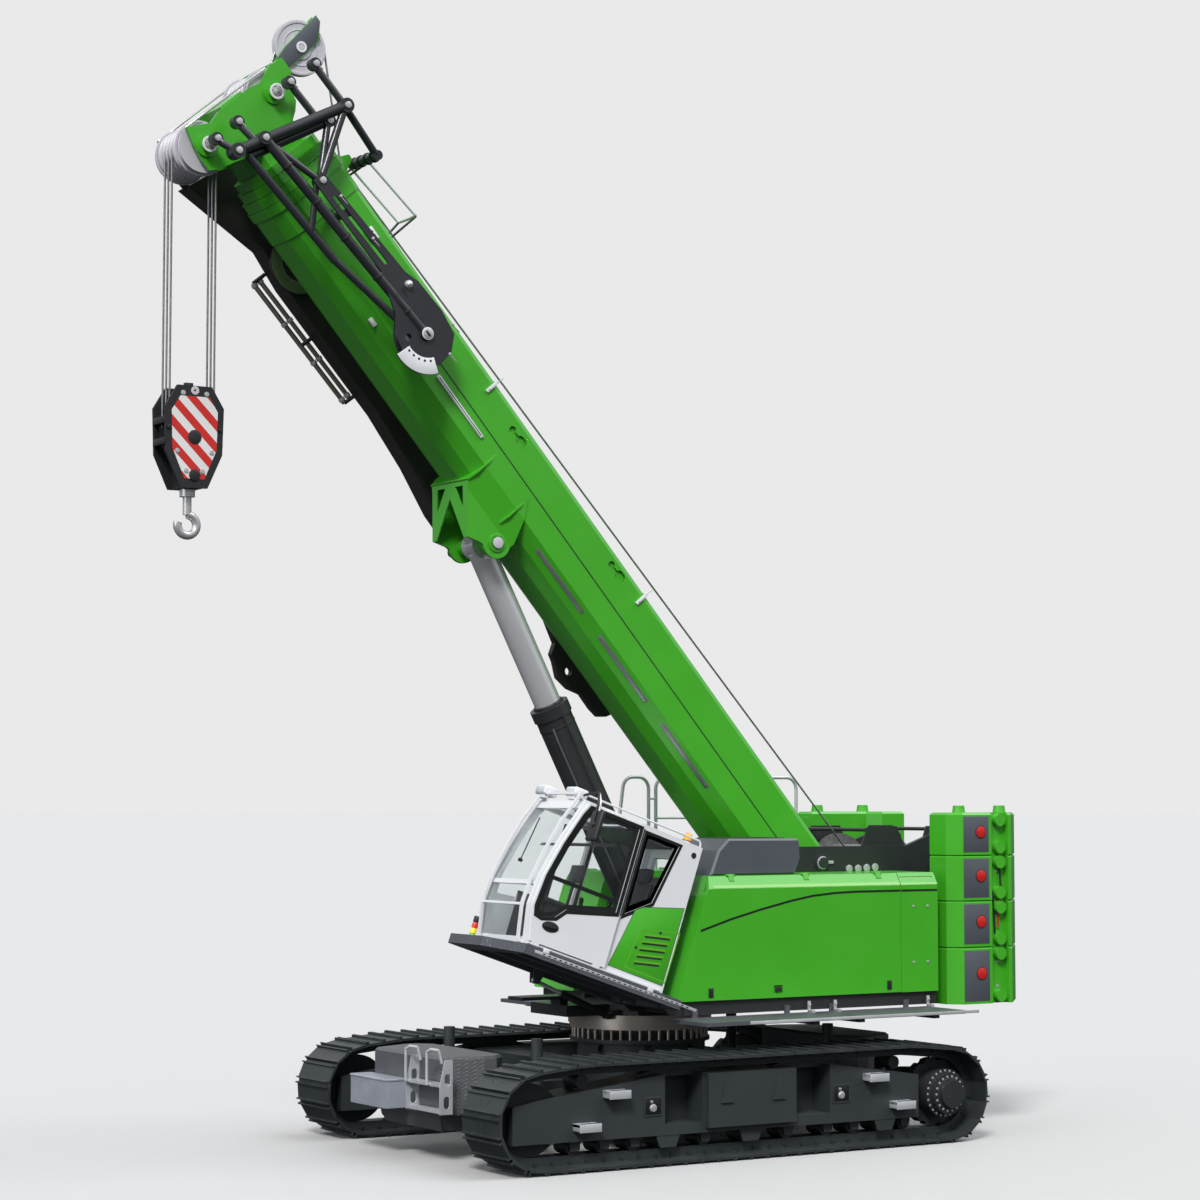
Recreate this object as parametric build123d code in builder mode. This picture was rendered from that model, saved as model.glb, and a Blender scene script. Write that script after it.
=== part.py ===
from build123d import *
from math import atan2, cos, hypot, pi, radians, sin
import os

os.makedirs("parts", exist_ok=True)

# Crawler crane with a telescopic boom, millimetres.
# +X forward, +Y to the operator's left, +Z up; the origin lies on the ground under the slewing axis.

# ---------------------------------------------------------------- driving sizes
seat = 0.3                       # clearance of pieces that rest on one another
running = 0.5                    # running clearance at pins, rods and wear pads

track_gauge = 3775.0             # centre to centre of the tracks
end_x = 2620.0                   # idler and sprocket centres, fore and aft of the middle
end_radius = 530.0               # their height, and the wrap's radius over the grousers
top_run_height = 1112.0
top_run_half = 2115.0
shoe_width = 765.0
shoe_count = 64
shoe_plate = 18.0
grouser = 26.0                   # rib height above the shoe plate
pin_drop = 90.0                  # link pins below the grouser tips
rail_depth = 154.0               # roller path below the grouser tips
link_width = 230.0

frame_inner_y = track_gauge / 2 - 247.5
frame_outer_y = track_gauge / 2 + 232.5
frame_bottom_z = 300.0
frame_top_z = 918.0
frame_front_x = 2880.0
frame_rear_x = -2260.0
pocket_width = 470.0
pocket_centre_x = 825.0

ring_radius = 800.0
ring_bottom_z = 1285.0
ring_top_z = 1400.0
flange_z = 1240.0                # underside of the ring's bolting flange
drum_top_z = 1130.0
drum_radius = 700.0
stud_radius = 745.0
stud_count = 44

deck_plate_y = 560.0             # inner face of the long deck plates
deck_plate = 60.0
deck_floor = 120.0
deck_top_z = 3215.0
deck_rear_x = -4150.0

upper_half_width = 1500.0
housing_inner_y = 640.0
housing_bottom_z = 1596.0
housing_top_z = 2928.0
housing_rear_x = -3050.0
housing_front_x = 482.0          # at the bottom; the edge leans back
housing_lean = 18.5
door_split_x = -2527.0
skin = 45.0

cab_tilt = 19.0                  # degrees nose up as it stands
cab_pivot_x = 500.0
cab_pivot_z = 1600.0
cab_half_gap_y = 500.0           # inner side of the cab
cab_outer_y = 1500.0
cab_length = 1990.0
cab_height = 1660.0
cab_wall = 45.0
door_clearance = 6.0

hinge_tube_radius = 50.0
hinge_pin_radius = 30.0
hinge_a = 60.0                   # the cab's tilting hinge, in the cab's own frame
hinge_b = -50.0
hinge_lug_y = (640.0, 1390.0)    # inner faces of the deck's lugs for it
hinge_lug = 50.0
tilt_eye_a = 1150.0
tilt_eye_b = -170.0
tilt_foot_x = 720.0
tilt_foot_z = 1400.0
tilt_cylinder_y = 470.0
tilt_barrel_radius = 38.0

boom_angle = 49.2
foot_x = -2080.0
foot_z = 3030.0
foot_boss_radius = 150.0
foot_boss_y = 466.0              # outer face of the boom's foot bosses
boom_half_width = 450.0
boom_height = 905.0
boom_top_v = 3779.0              # top plate above the line through the origin
boom_wall = 14.0
boom_gap = 12.0
boom_rear_u = 760.0
boom_front_u = 10600.0
collar_length = 105.0
section_count = 4
telescope_stroke = 7750.0

luff_pin_u = 6291.0
luff_pin_v = 2679.0
luff_foot_x = -220.0
luff_foot_z = 2050.0
luff_barrel_radius = 205.0
luff_rod_radius = 150.0
luff_barrel_length = 2950.0
luff_eye_radius = 150.0
luff_pin_radius = 60.0
luff_eye_width = 240.0

head_pin_u = 11505.0
head_front_drop = 1146.0
head_rear_drop = 155.0
head_sheave_radius = 235.0       # to the rope groove
head_plate = 36.0

block_sheave_z = 7560.0
block_sheave_radius = 235.0
rope_radius = 11.0
fall_spacing = 90.0

slab_levels = (1430.0, 2078.0, 2604.0, 3120.0, 3600.0)
slab_front_x = -3230.0
slab_rear_x = -4500.0
slab_inner_y = 1140.0
slab_outer_y = 1570.0


# ---------------------------------------------------------------- working planes
def side(y):
    """Upright plane at y: sketch x is X and sketch y is Z; a positive extrusion goes to -Y."""
    return Plane.XZ.offset(-y)


boom_cos = cos(radians(boom_angle))
boom_sin = sin(radians(boom_angle))
boom_frame = Plane(origin=(0, 0, 0), x_dir=(boom_cos, 0, boom_sin), z_dir=(0, -1, 0))


def boom_side(y):
    """Plane along the boom at y: sketch x runs along the boom (u), sketch y across it (v)."""
    return boom_frame.offset(-y)


def boom_station(u):
    """Plane square to the boom at u: sketch x is Y and sketch y is v."""
    return Plane(origin=(u * boom_cos, 0, u * boom_sin), x_dir=(0, 1, 0), z_dir=(boom_cos, 0, boom_sin))


def boom_point(u, y, v):
    """Point of the boom's own frame in the machine's frame."""
    return Vector(u * boom_cos - v * boom_sin, y, u * boom_sin + v * boom_cos)


cab_cos = cos(radians(cab_tilt))
cab_sin = sin(radians(cab_tilt))
cab_frame = Plane(origin=(cab_pivot_x, 0, cab_pivot_z), x_dir=(cab_cos, 0, cab_sin), z_dir=(0, -1, 0))


def cab_side(y):
    """Plane along the tilted cab at y: sketch x runs to its nose, sketch y to its roof."""
    return cab_frame.offset(-y)


def cab_level(b):
    """Plane parallel to the cab's floor, b above it: sketch x runs to its nose, sketch y is Y."""
    return Plane(
        origin=(cab_pivot_x - b * cab_sin, 0, cab_pivot_z + b * cab_cos),
        x_dir=(cab_cos, 0, cab_sin),
        z_dir=(-cab_sin, 0, cab_cos),
    )


def cab_cross(a):
    """Plane square to the cab's length at a: sketch x is Y and sketch y runs to the roof."""
    return Plane(
        origin=(cab_pivot_x + a * cab_cos, 0, cab_pivot_z + a * cab_sin),
        x_dir=(0, 1, 0),
        z_dir=(cab_cos, 0, cab_sin),
    )


def cab_point(a, y, b):
    """Point of the cab's own frame in the machine's frame."""
    return Vector(
        cab_pivot_x + a * cab_cos - b * cab_sin,
        y,
        cab_pivot_z + a * cab_sin + b * cab_cos,
    )


cab_hinge = cab_point(hinge_a, 0, hinge_b)
luff_pin = boom_point(luff_pin_u, 0, luff_pin_v)
luff_foot = Vector(luff_foot_x, 0, luff_foot_z)
luff_axis = (luff_pin - luff_foot).normalized()
luff_length = (luff_pin - luff_foot).length


def luff_station(s):
    """Plane square to the luffing cylinder, s from its foot pin."""
    return Plane(origin=luff_foot + luff_axis * s, x_dir=(0, 1, 0), z_dir=luff_axis)


def bar(start, end, radius, mode=Mode.ADD):
    """Round bar between two points, in the part being built."""
    run = Vector(end) - Vector(start)
    with BuildSketch(Plane(origin=start, z_dir=run)) as section:
        Circle(radius)
    extrude(section.sketch, amount=run.length, mode=mode)


def tube(points, radius, bend):
    """Round tube through corner points, its corners bent, in the part being built."""
    with BuildLine() as path:
        FilletPolyline(*points, radius=bend)
    with BuildSketch(Plane(origin=path.line @ 0, z_dir=path.line % 0)) as section:
        Circle(radius)
    sweep(section.sketch, path=path.line)


def outline(points, mode=Mode.ADD):
    """Closed straight-sided face from corner points, in the sketch being built."""
    Polygon(*points, align=None, mode=mode)


# ---------------------------------------------------------------- crawler tracks
def loop_point(share, inset):
    """Point of the track's loop, inset below the grouser tips, at a share of its length."""
    r = end_radius - inset
    top = top_run_height - inset
    lift = atan2(top - end_radius, end_x - top_run_half)
    away = hypot(end_x - top_run_half, top - end_radius)
    turn = pi - lift - atan2((away**2 - r**2) ** 0.5, r)
    touch = (end_x + r * cos(turn), end_radius + r * sin(turn))
    slope = hypot(touch[0] - top_run_half, top - touch[1])
    arc = r * (turn + pi / 2)
    # kind, start or centre, end or first angle, length
    rows = (
        ("line", (-end_x, end_radius - r), (end_x, end_radius - r), 2 * end_x),
        ("arc", (end_x, end_radius), -pi / 2, arc),
        ("line", touch, (top_run_half, top), slope),
        ("line", (top_run_half, top), (-top_run_half, top), 2 * top_run_half),
        ("line", (-top_run_half, top), (-touch[0], touch[1]), slope),
        ("arc", (-end_x, end_radius), pi - turn, arc),
    )
    left = share * sum(row[3] for row in rows)
    for kind, a, b, length in rows:
        if left > length:
            left -= length
        elif kind == "line":
            return a[0] + (b[0] - a[0]) * left / length, a[1] + (b[1] - a[1]) * left / length
        else:
            return a[0] + r * cos(b + left / r), a[1] + r * sin(b + left / r)
    return rows[0][1]


# one shoe's outline: share of half a pitch along it, height above the link pins
shoe_foot = pin_drop - shoe_plate - grouser
shoe_rows = (
    (-0.96, shoe_foot),
    (-0.96, pin_drop),
    (-0.82, pin_drop),
    (-0.82, pin_drop - grouser),
    (0.82, pin_drop - grouser),
    (0.82, pin_drop),
    (0.96, pin_drop),
    (0.96, shoe_foot),
)
pins = [loop_point(i / shoe_count, pin_drop) for i in range(shoe_count)]
shoe_points = []
for i in range(shoe_count):
    here, there = pins[i], pins[(i + 1) % shoe_count]
    pitch = hypot(there[0] - here[0], there[1] - here[1])
    along = ((there[0] - here[0]) / pitch, (there[1] - here[1]) / pitch)
    for share, height in shoe_rows:
        reach = (share + 1) * pitch / 2
        shoe_points.append(
            (
                here[0] + along[0] * reach + along[1] * height,
                here[1] + along[1] * reach - along[0] * height,
            )
        )
web_points = [loop_point(i / shoe_count, pin_drop - shoe_foot + 10) for i in range(shoe_count)]
rail_points = [loop_point(i / shoe_count / 2, rail_depth) for i in range(2 * shoe_count)]

for name, hand in (("track_left", 1), ("track_right", -1)):
    with BuildPart() as track:
        with BuildSketch(side(hand * track_gauge / 2)):
            outline(shoe_points)
            outline(web_points, mode=Mode.SUBTRACT)
        extrude(amount=shoe_width / 2, both=True)
        with BuildSketch(side(hand * track_gauge / 2)):
            outline(web_points)
            outline(rail_points, mode=Mode.SUBTRACT)
        extrude(amount=link_width / 2, both=True)
    track.part.label = name
    export_step(track.part, f"parts/{name}.step")

# ---------------------------------------------------------------- side frames with their running gear
roller_radius = 84.0
roller_half_width = link_width / 2 + 11
roller_z = rail_depth + roller_radius + seat
roller_xs = (2106, 1752, 1381, 1016, 506, -27, -558, -1080, -1439, -1802, -2130)
carrier_xs = (2005, -2005)
carrier_radius = 72.0
carrier_z = top_run_height - rail_depth - carrier_radius - seat
wheel_radius = (end_radius - rail_depth) * cos(pi / 21) - seat
hub_half_width = roller_half_width + 6
tooth_count = 11
drive_plate_y = track_gauge / 2 - 215

for name, hand in (("side_frame_left", 1), ("side_frame_right", -1)):
    inner = hand * frame_inner_y
    depth = frame_outer_y - frame_inner_y
    with BuildPart() as side_frame:
        with BuildSketch(side(inner)):
            outline(
                (
                    (frame_front_x, frame_bottom_z + 3),
                    (frame_front_x, 684),
                    (1090, frame_top_z),
                    (-1090, frame_top_z),
                    (frame_rear_x, 752),
                    (frame_rear_x, frame_bottom_z - 10),
                )
            )
        extrude(amount=-hand * depth)
        # idler and sprocket turn in the two forked ends, the rollers in the channel below
        with BuildSketch(side(hand * track_gauge / 2)):
            with Locations((end_x, end_radius), (-end_x, end_radius)):
                Circle(wheel_radius + 14)
            with Locations((0, frame_bottom_z)):
                Rectangle(2 * end_x, 2 * (roller_z + roller_radius + 12 - frame_bottom_z))
        extrude(amount=hub_half_width + seat, both=True, mode=Mode.SUBTRACT)
        # inner bearer of the final drive
        with BuildSketch(side(hand * (drive_plate_y - seat))):
            with Locations((-end_x, end_radius)):
                Circle(250)
            outline(
                (
                    (-end_x, end_radius - 250),
                    (frame_rear_x + 60, 300),
                    (frame_rear_x + 60, 800),
                    (-end_x, end_radius + 250),
                )
            )
        extrude(amount=hand * 60)
        for centre in (pocket_centre_x, -pocket_centre_x):
            with BuildSketch(side(hand * (frame_outer_y + 5))):
                with Locations((centre, 662)):
                    Rectangle(pocket_width, 516)
            extrude(amount=hand * 330, mode=Mode.SUBTRACT)
        # raised middle panel between the pockets
        with BuildSketch(side(hand * frame_outer_y)):
            with Locations((0, 630)):
                Rectangle(2 * pocket_centre_x - pocket_width - 60, 560)
        extrude(amount=-hand * 75)
        # lifting ears of the middle panel
        for ear_x in (330, -330):
            with BuildSketch(side(hand * (frame_outer_y + 75))):
                outline(((ear_x - 75, 600), (ear_x + 75, 600), (ear_x + 18, 815), (ear_x - 18, 815)))
            extrude(amount=-hand * 22)
        # sliding shoes for the chain above the pockets
        for centre in (pocket_centre_x, -pocket_centre_x):
            with BuildSketch(side(hand * (track_gauge / 2 + 60))):
                outline(
                    (
                        (centre - 530, frame_top_z - 35),
                        (centre + 530, frame_top_z - 35),
                        (centre + 300, frame_top_z + 36),
                        (centre - 300, frame_top_z + 36),
                    )
                )
            extrude(amount=hand * 120)
        # roller hangers
        for roller_x in roller_xs:
            for turn in (1, -1):
                with BuildSketch(side(hand * track_gauge / 2 + turn * (hub_half_width + seat))):
                    outline(
                        (
                            (roller_x - 75, frame_bottom_z + 30),
                            (roller_x - 48, roller_z - 42),
                            (roller_x + 48, roller_z - 42),
                            (roller_x + 75, frame_bottom_z + 30),
                        )
                    )
                extrude(amount=-turn * 30)
        # chain guards below the frame
        for guard_x in (-27, -1802, 1016):
            with BuildSketch(side(hand * (frame_outer_y - 6))):
                outline(((guard_x - 150, 312), (guard_x - 95, 175), (guard_x + 95, 175), (guard_x + 150, 312)))
            extrude(amount=hand * 26)
        # carrier roller brackets
        for carrier_x in carrier_xs:
            with BuildSketch(side(hand * (track_gauge / 2 - roller_half_width - seat))):
                with Locations((carrier_x, (carrier_z + 700) / 2)):
                    Rectangle(90, carrier_z - 700 + 60)
            extrude(amount=hand * 40)
        # boarding steps on the outer face
        for step_x, step_z in ((1689, 770), (2043, 455), (-1627, 770), (-1989, 455)):
            with BuildSketch(Plane.XY.offset(step_z)):
                with Locations((step_x, hand * (frame_outer_y + 65))):
                    Rectangle(230, 130)
            extrude(amount=26)
            with BuildSketch(side(hand * (frame_outer_y + 130))):
                with Locations((step_x, step_z + 10)):
                    Rectangle(230, 56)
            extrude(amount=hand * 14)
    side_frame.part.label = name
    export_step(side_frame.part, f"parts/{name}.step")

for name, hand in (("running_gear_left", 1), ("running_gear_right", -1)):
    centre_y = hand * track_gauge / 2
    with BuildPart() as running_gear:
        # bottom rollers: a waisted roller and its through shaft
        for roller_x in roller_xs:
            for half_width, radius in ((roller_half_width, roller_radius), (hub_half_width, 34)):
                with BuildSketch(side(centre_y)):
                    with Locations((roller_x, roller_z)):
                        Circle(radius)
                extrude(amount=half_width, both=True)
        for carrier_x in carrier_xs:
            with BuildSketch(side(centre_y)):
                with Locations((carrier_x, carrier_z)):
                    Circle(carrier_radius)
            extrude(amount=roller_half_width, both=True)
        # idler wheel with its guide rim
        with BuildSketch(side(centre_y)):
            with Locations((end_x, end_radius)):
                Circle(wheel_radius)
        extrude(amount=90, both=True)
        with BuildSketch(side(centre_y)):
            with Locations((end_x, end_radius)):
                Circle(150)
        extrude(amount=hub_half_width, both=True)
        # toothed sprocket
        with BuildSketch(side(centre_y)):
            with Locations((-end_x, end_radius)):
                Circle(wheel_radius)
                with PolarLocations(wheel_radius + 22, tooth_count):
                    Circle(50, mode=Mode.SUBTRACT)
        extrude(amount=55, both=True)
        # stepped final drive on the outside, its mounting flange on the inside
        for reach, radius in ((250, 265), (330, 225), (392, 150)):
            with BuildSketch(side(centre_y)):
                with Locations((-end_x, end_radius)):
                    Circle(radius)
            extrude(amount=-hand * reach)
        with BuildSketch(side(centre_y)):
            with Locations((-end_x, end_radius)):
                Circle(240)
        extrude(amount=hand * (track_gauge / 2 - drive_plate_y))
    running_gear.part.label = name
    export_step(running_gear.part, f"parts/{name}.step")


# ---------------------------------------------------------------- carbody
with BuildPart() as carbody:
    # slewing drum with its lightening holes
    with BuildSketch(Plane.XY.offset(420)):
        Circle(drum_radius)
    extrude(amount=drum_top_z - 40 - 420)
    with BuildSketch(Plane.XY.offset(drum_top_z - 40)):
        Circle(ring_radius - 20)
    extrude(amount=40)
    for turn in range(8):
        with BuildSketch(Plane.YZ.rotated((0, 0, turn * 45 + 20)).offset(drum_radius - 60)):
            with Locations((0, 1020)):
                Circle(48)
        extrude(amount=120, mode=Mode.SUBTRACT)
    # centre box and the two cross beams into the side frames
    with BuildSketch(Plane.XY.offset(400)):
        RegularPolygon(1180, 8, rotation=22.5)
    extrude(amount=430)
    for centre in (pocket_centre_x, -pocket_centre_x):
        with BuildSketch(Plane.XY.offset(430)):
            with Locations((centre, 0)):
                Rectangle(430, 2 * frame_inner_y)
        extrude(amount=460)
    # bearers for the two end ballasts
    for facing in (1, -1):
        for beam_y in (420, -420):
            with BuildSketch(Plane.XY.offset(440)):
                with Locations((facing * 1630, beam_y)):
                    Rectangle(1140, 160)
            extrude(amount=300)
    # support posts with their sleeves
    for post_x, post_y in ((1900, 950), (1900, -950), (-1900, 950), (-1900, -950)):
        with BuildSketch(Plane.XY.offset(440)):
            with Locations((post_x, post_y)):
                Circle(62)
        extrude(amount=800)
        with BuildSketch(Plane.XY.offset(440)):
            with Locations((post_x, post_y * 0.72)):
                Rectangle(130, abs(post_y) * 0.56)
        extrude(amount=150)
carbody.part.label = "carbody"
export_step(carbody.part, "parts/carbody.step")

with BuildPart() as slewing_ring:
    with BuildSketch(Plane.XY.offset(ring_bottom_z)):
        Circle(ring_radius)
        Circle(ring_radius - 190, mode=Mode.SUBTRACT)
    extrude(amount=ring_top_z - ring_bottom_z - seat)
    with BuildSketch(Plane.XY.offset(flange_z)):
        Circle(ring_radius - 22)
        Circle(ring_radius - 150, mode=Mode.SUBTRACT)
    extrude(amount=ring_bottom_z - flange_z)
    with BuildSketch(Plane.XY.offset(drum_top_z)):
        with PolarLocations(stud_radius, stud_count):
            Circle(17)
    extrude(amount=flange_z - drum_top_z)
slewing_ring.part.label = "slewing_ring"
export_step(slewing_ring.part, "parts/slewing_ring.step")

# ---------------------------------------------------------------- end ballasts, ladder and toolbox
ballast_front_x = 2950.0
ballast_rear_x = 2200.0
ballast_top_z = 1080.0
ballast_bottom_z = 480.0
ballast_half_width = 900.0
toolbox_front_x = 3200.0
for name, facing in (("ballast_front", 1), ("ballast_rear", -1)):
    with BuildPart() as ballast:
        with BuildSketch(Plane.XY.offset(ballast_bottom_z)):
            outline(
                (
                    (facing * ballast_front_x, -ballast_half_width + 190),
                    (facing * ballast_front_x, ballast_half_width - 190),
                    (facing * (ballast_front_x - 440), ballast_half_width),
                    (facing * (ballast_rear_x + 160), ballast_half_width),
                    (facing * ballast_rear_x, ballast_half_width - 160),
                    (facing * ballast_rear_x, -ballast_half_width + 160),
                    (facing * (ballast_rear_x + 160), -ballast_half_width),
                    (facing * (ballast_front_x - 440), -ballast_half_width),
                )
            )
        extrude(amount=ballast_top_z - ballast_bottom_z)
        chamfer(ballast.faces().sort_by(Axis.Z)[-1].edges(), 28)
        with BuildSketch(Plane.XY.offset(ballast_bottom_z)):
            with Locations((facing * (ballast_front_x + ballast_rear_x) / 2, 0)):
                Rectangle(ballast_front_x - ballast_rear_x - 60, 2 * ballast_half_width - 420)
        extrude(amount=-180, taper=18)
    ballast.part.label = name
    export_step(ballast.part, f"parts/{name}.step")

with BuildPart() as toolbox:
    with BuildSketch(Plane.XY.offset(500)):
        with Locations(((ballast_front_x + seat + toolbox_front_x) / 2, -385)):
            Rectangle(toolbox_front_x - ballast_front_x - seat, 810)
    extrude(amount=285)
    with BuildSketch(Plane.XY.offset(785)):
        with Locations(((ballast_front_x + seat + toolbox_front_x + 8) / 2, -385)):
            Rectangle(toolbox_front_x + 8 - ballast_front_x - seat, 826)
    extrude(amount=22)
    chamfer(toolbox.faces().sort_by(Axis.Z)[-1].edges(), 8)
toolbox.part.label = "toolbox"
export_step(toolbox.part, "parts/toolbox.step")

ladder_x = ballast_front_x + 150
ladder_ys = (290.0, 1010.0)
with BuildPart() as boarding_ladder:
    # side cheeks with their hand holes
    for cheek_y in ladder_ys:
        with BuildSketch(side(cheek_y + 9)):
            outline(
                (
                    (ballast_front_x + seat, 520),
                    (ladder_x, 520),
                    (ladder_x, 800),
                    (ladder_x - 60, 1075),
                    (ballast_front_x + seat, 1075),
                )
            )
            with Locations((ladder_x - 80, 640), (ladder_x - 90, 870)):
                SlotOverall(130, 72, rotation=90, mode=Mode.SUBTRACT)
        extrude(amount=18)
    for step_z in (530, 800):
        with BuildSketch(Plane.XY.offset(step_z)):
            with Locations((ladder_x - 60, sum(ladder_ys) / 2)):
                Rectangle(120, ladder_ys[1] - ladder_ys[0])
        extrude(amount=30)
    # bent grab rails
    for rail_y in (ladder_ys[0] + 40, ladder_ys[1] - 220):
        bar((ladder_x - 40, rail_y, 800), (ladder_x + 30, rail_y, 830), 16)
        bar((ladder_x + 30, rail_y, 815), (ladder_x + 30, rail_y, 1150), 16)
        bar((ladder_x + 30, rail_y, 1145), (ladder_x + 10, rail_y + 60, 1180), 16)
        bar((ladder_x + 10, rail_y + 55, 1178), (ladder_x - 30, rail_y + 150, 1170), 16)
        bar((ladder_x - 30, rail_y + 146, 1175), (ladder_x - 60, rail_y + 160, 1040), 16)
boarding_ladder.part.label = "boarding_ladder"
export_step(boarding_ladder.part, "parts/boarding_ladder.step")

# ---------------------------------------------------------------- upper deck frame
floor_top_z = ring_top_z + deck_floor
nose_half_width = 380.0
nose_front_x = 1690.0
plate_outer_y = deck_plate_y + deck_plate
carrier_x = (-4040.0, -3560.0)
foot_lug_y = luff_barrel_radius + 35
foot_pin_radius = 62.0
foot_boss_gap = 2.0
with BuildPart() as deck_frame:
    # floor, wide over the ring and narrow beside the cab
    with BuildSketch(Plane.XY.offset(ring_top_z)):
        outline(
            (
                (deck_rear_x, -plate_outer_y),
                (420, -plate_outer_y),
                (640, -nose_half_width),
                (nose_front_x - 500, -nose_half_width),
                (nose_front_x - 500, nose_half_width),
                (640, nose_half_width),
                (420, plate_outer_y),
                (deck_rear_x, plate_outer_y),
            )
        )
    extrude(amount=deck_floor)
    # long side plates
    for hand in (1, -1):
        with BuildSketch(side(hand * deck_plate_y)):
            outline(
                (
                    (deck_rear_x, ring_top_z),
                    (deck_rear_x, 3330),
                    (-4060, 3400),
                    (-3830, 3400),
                    (-3300, deck_top_z),
                    (-1690, deck_top_z),
                    (-1450, 3120),
                    (-700, 2480),
                    (-60, 2300),
                    (300, 2050),
                    (400, ring_top_z),
                )
            )
        extrude(amount=-hand * deck_plate)
        # bosses round the boom's foot pin, inside and outside
        with BuildSketch(side(hand * plate_outer_y)):
            with Locations((foot_x, foot_z)):
                Circle(105)
        extrude(amount=-hand * 12)
        with BuildSketch(side(hand * (foot_boss_y + foot_boss_gap))):
            with Locations((foot_x, foot_z)):
                Circle(foot_boss_radius)
        extrude(amount=-hand * (deck_plate_y - foot_boss_y - foot_boss_gap + 1))
        # side bearers under the housings
        with BuildSketch(Plane.XY.offset(ring_top_z + 50)):
            with Locations(((housing_rear_x + 380) / 2, hand * (plate_outer_y + upper_half_width - 40) / 2)):
                Rectangle(380 - housing_rear_x, upper_half_width - 40 - plate_outer_y)
        extrude(amount=housing_bottom_z - ring_top_z - 50)
        # arms that carry the counterweight stacks
        with BuildSketch(Plane.XY.offset(1500)):
            with Locations((sum(carrier_x) / 2, hand * (plate_outer_y + slab_inner_y - seat) / 2)):
                Rectangle(carrier_x[1] - carrier_x[0], slab_inner_y - seat - plate_outer_y)
        extrude(amount=1300)
        # lugs of the luffing cylinder's foot
        with BuildSketch(side(hand * foot_lug_y)):
            outline(
                (
                    (luff_foot_x - 330, floor_top_z),
                    (luff_foot_x - 120, 2170),
                    (luff_foot_x + 120, 2170),
                    (luff_foot_x + 330, floor_top_z),
                )
            )
            with Locations((luff_foot_x, luff_foot_z)):
                Circle(luff_pin_radius + 4, mode=Mode.SUBTRACT)
        extrude(amount=-hand * 60)
    # cross plates between the side plates, low enough for the boom
    for cross_x in (-3700, -2560, -1500):
        with BuildSketch(Plane.XY.offset(floor_top_z)):
            with Locations((cross_x, 0)):
                Rectangle(50, 2 * deck_plate_y)
        extrude(amount=560)
    # foot pins of the boom
    for hand in (1, -1):
        with BuildSketch(side(hand * (boom_half_width - 20))):
            with Locations((foot_x, foot_z)):
                Circle(foot_pin_radius)
        extrude(amount=-hand * (plate_outer_y + 45 - boom_half_width + 20))
    # lugs that carry the cab's hinge, in front of the side bearer
    for lug_y in hinge_lug_y:
        with BuildSketch(side(lug_y + hinge_lug)):
            outline(
                (
                    (370, 1455),
                    (540, 1455),
                    (cab_hinge.X + 52, cab_hinge.Z - 40),
                    (cab_hinge.X + 52, cab_hinge.Z + 30),
                    (cab_hinge.X + 20, cab_hinge.Z + 55),
                    (cab_hinge.X - 50, cab_hinge.Z + 55),
                    (495, 1590),
                    (370, 1590),
                )
            )
            with Locations((cab_hinge.X, cab_hinge.Z)):
                Circle(hinge_pin_radius + running, mode=Mode.SUBTRACT)
        extrude(amount=hinge_lug)
    # ears of the cab's tilting cylinder, off the nose
    for ear_y in (nose_half_width + 64, nose_half_width + 136):
        with BuildSketch(side(ear_y)):
            outline(
                (
                    (600, 1405),
                    (tilt_foot_x - 34, 1405),
                    (tilt_foot_x - 30, tilt_foot_z - 34),
                    (tilt_foot_x + 36, tilt_foot_z - 34),
                    (tilt_foot_x + 36, tilt_foot_z + 20),
                    (tilt_foot_x - 10, 1440),
                    (660, 1462),
                    (600, 1462),
                )
            )
        extrude(amount=20)
    with BuildSketch(Plane.XY.offset(1405)):
        with Locations((630, nose_half_width + 65)):
            Rectangle(60, 142)
    extrude(amount=57)
    with BuildSketch(side(nose_half_width + 136)):
        with Locations((tilt_foot_x, tilt_foot_z)):
            Circle(18)
    extrude(amount=92)
    # front step of the nose
    with BuildSketch(Plane.XY.offset(1585)):
        with Locations((nose_front_x - 320, 130)):
            Rectangle(640, 300)
    extrude(amount=36)
    with BuildSketch(Plane.XY.offset(floor_top_z)):
        with Locations((nose_front_x - 560, 130)):
            Rectangle(100, 200)
    extrude(amount=1585 - floor_top_z)
deck_frame.part.label = "deck_frame"
export_step(deck_frame.part, "parts/deck_frame.step")

# ---------------------------------------------------------------- housings, hoods and what they cover
lean = sin(radians(housing_lean)) / cos(radians(housing_lean))


def front_x(z):
    """Leaning front edge of the housings at height z."""
    return housing_front_x - (z - housing_bottom_z) * lean


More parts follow.
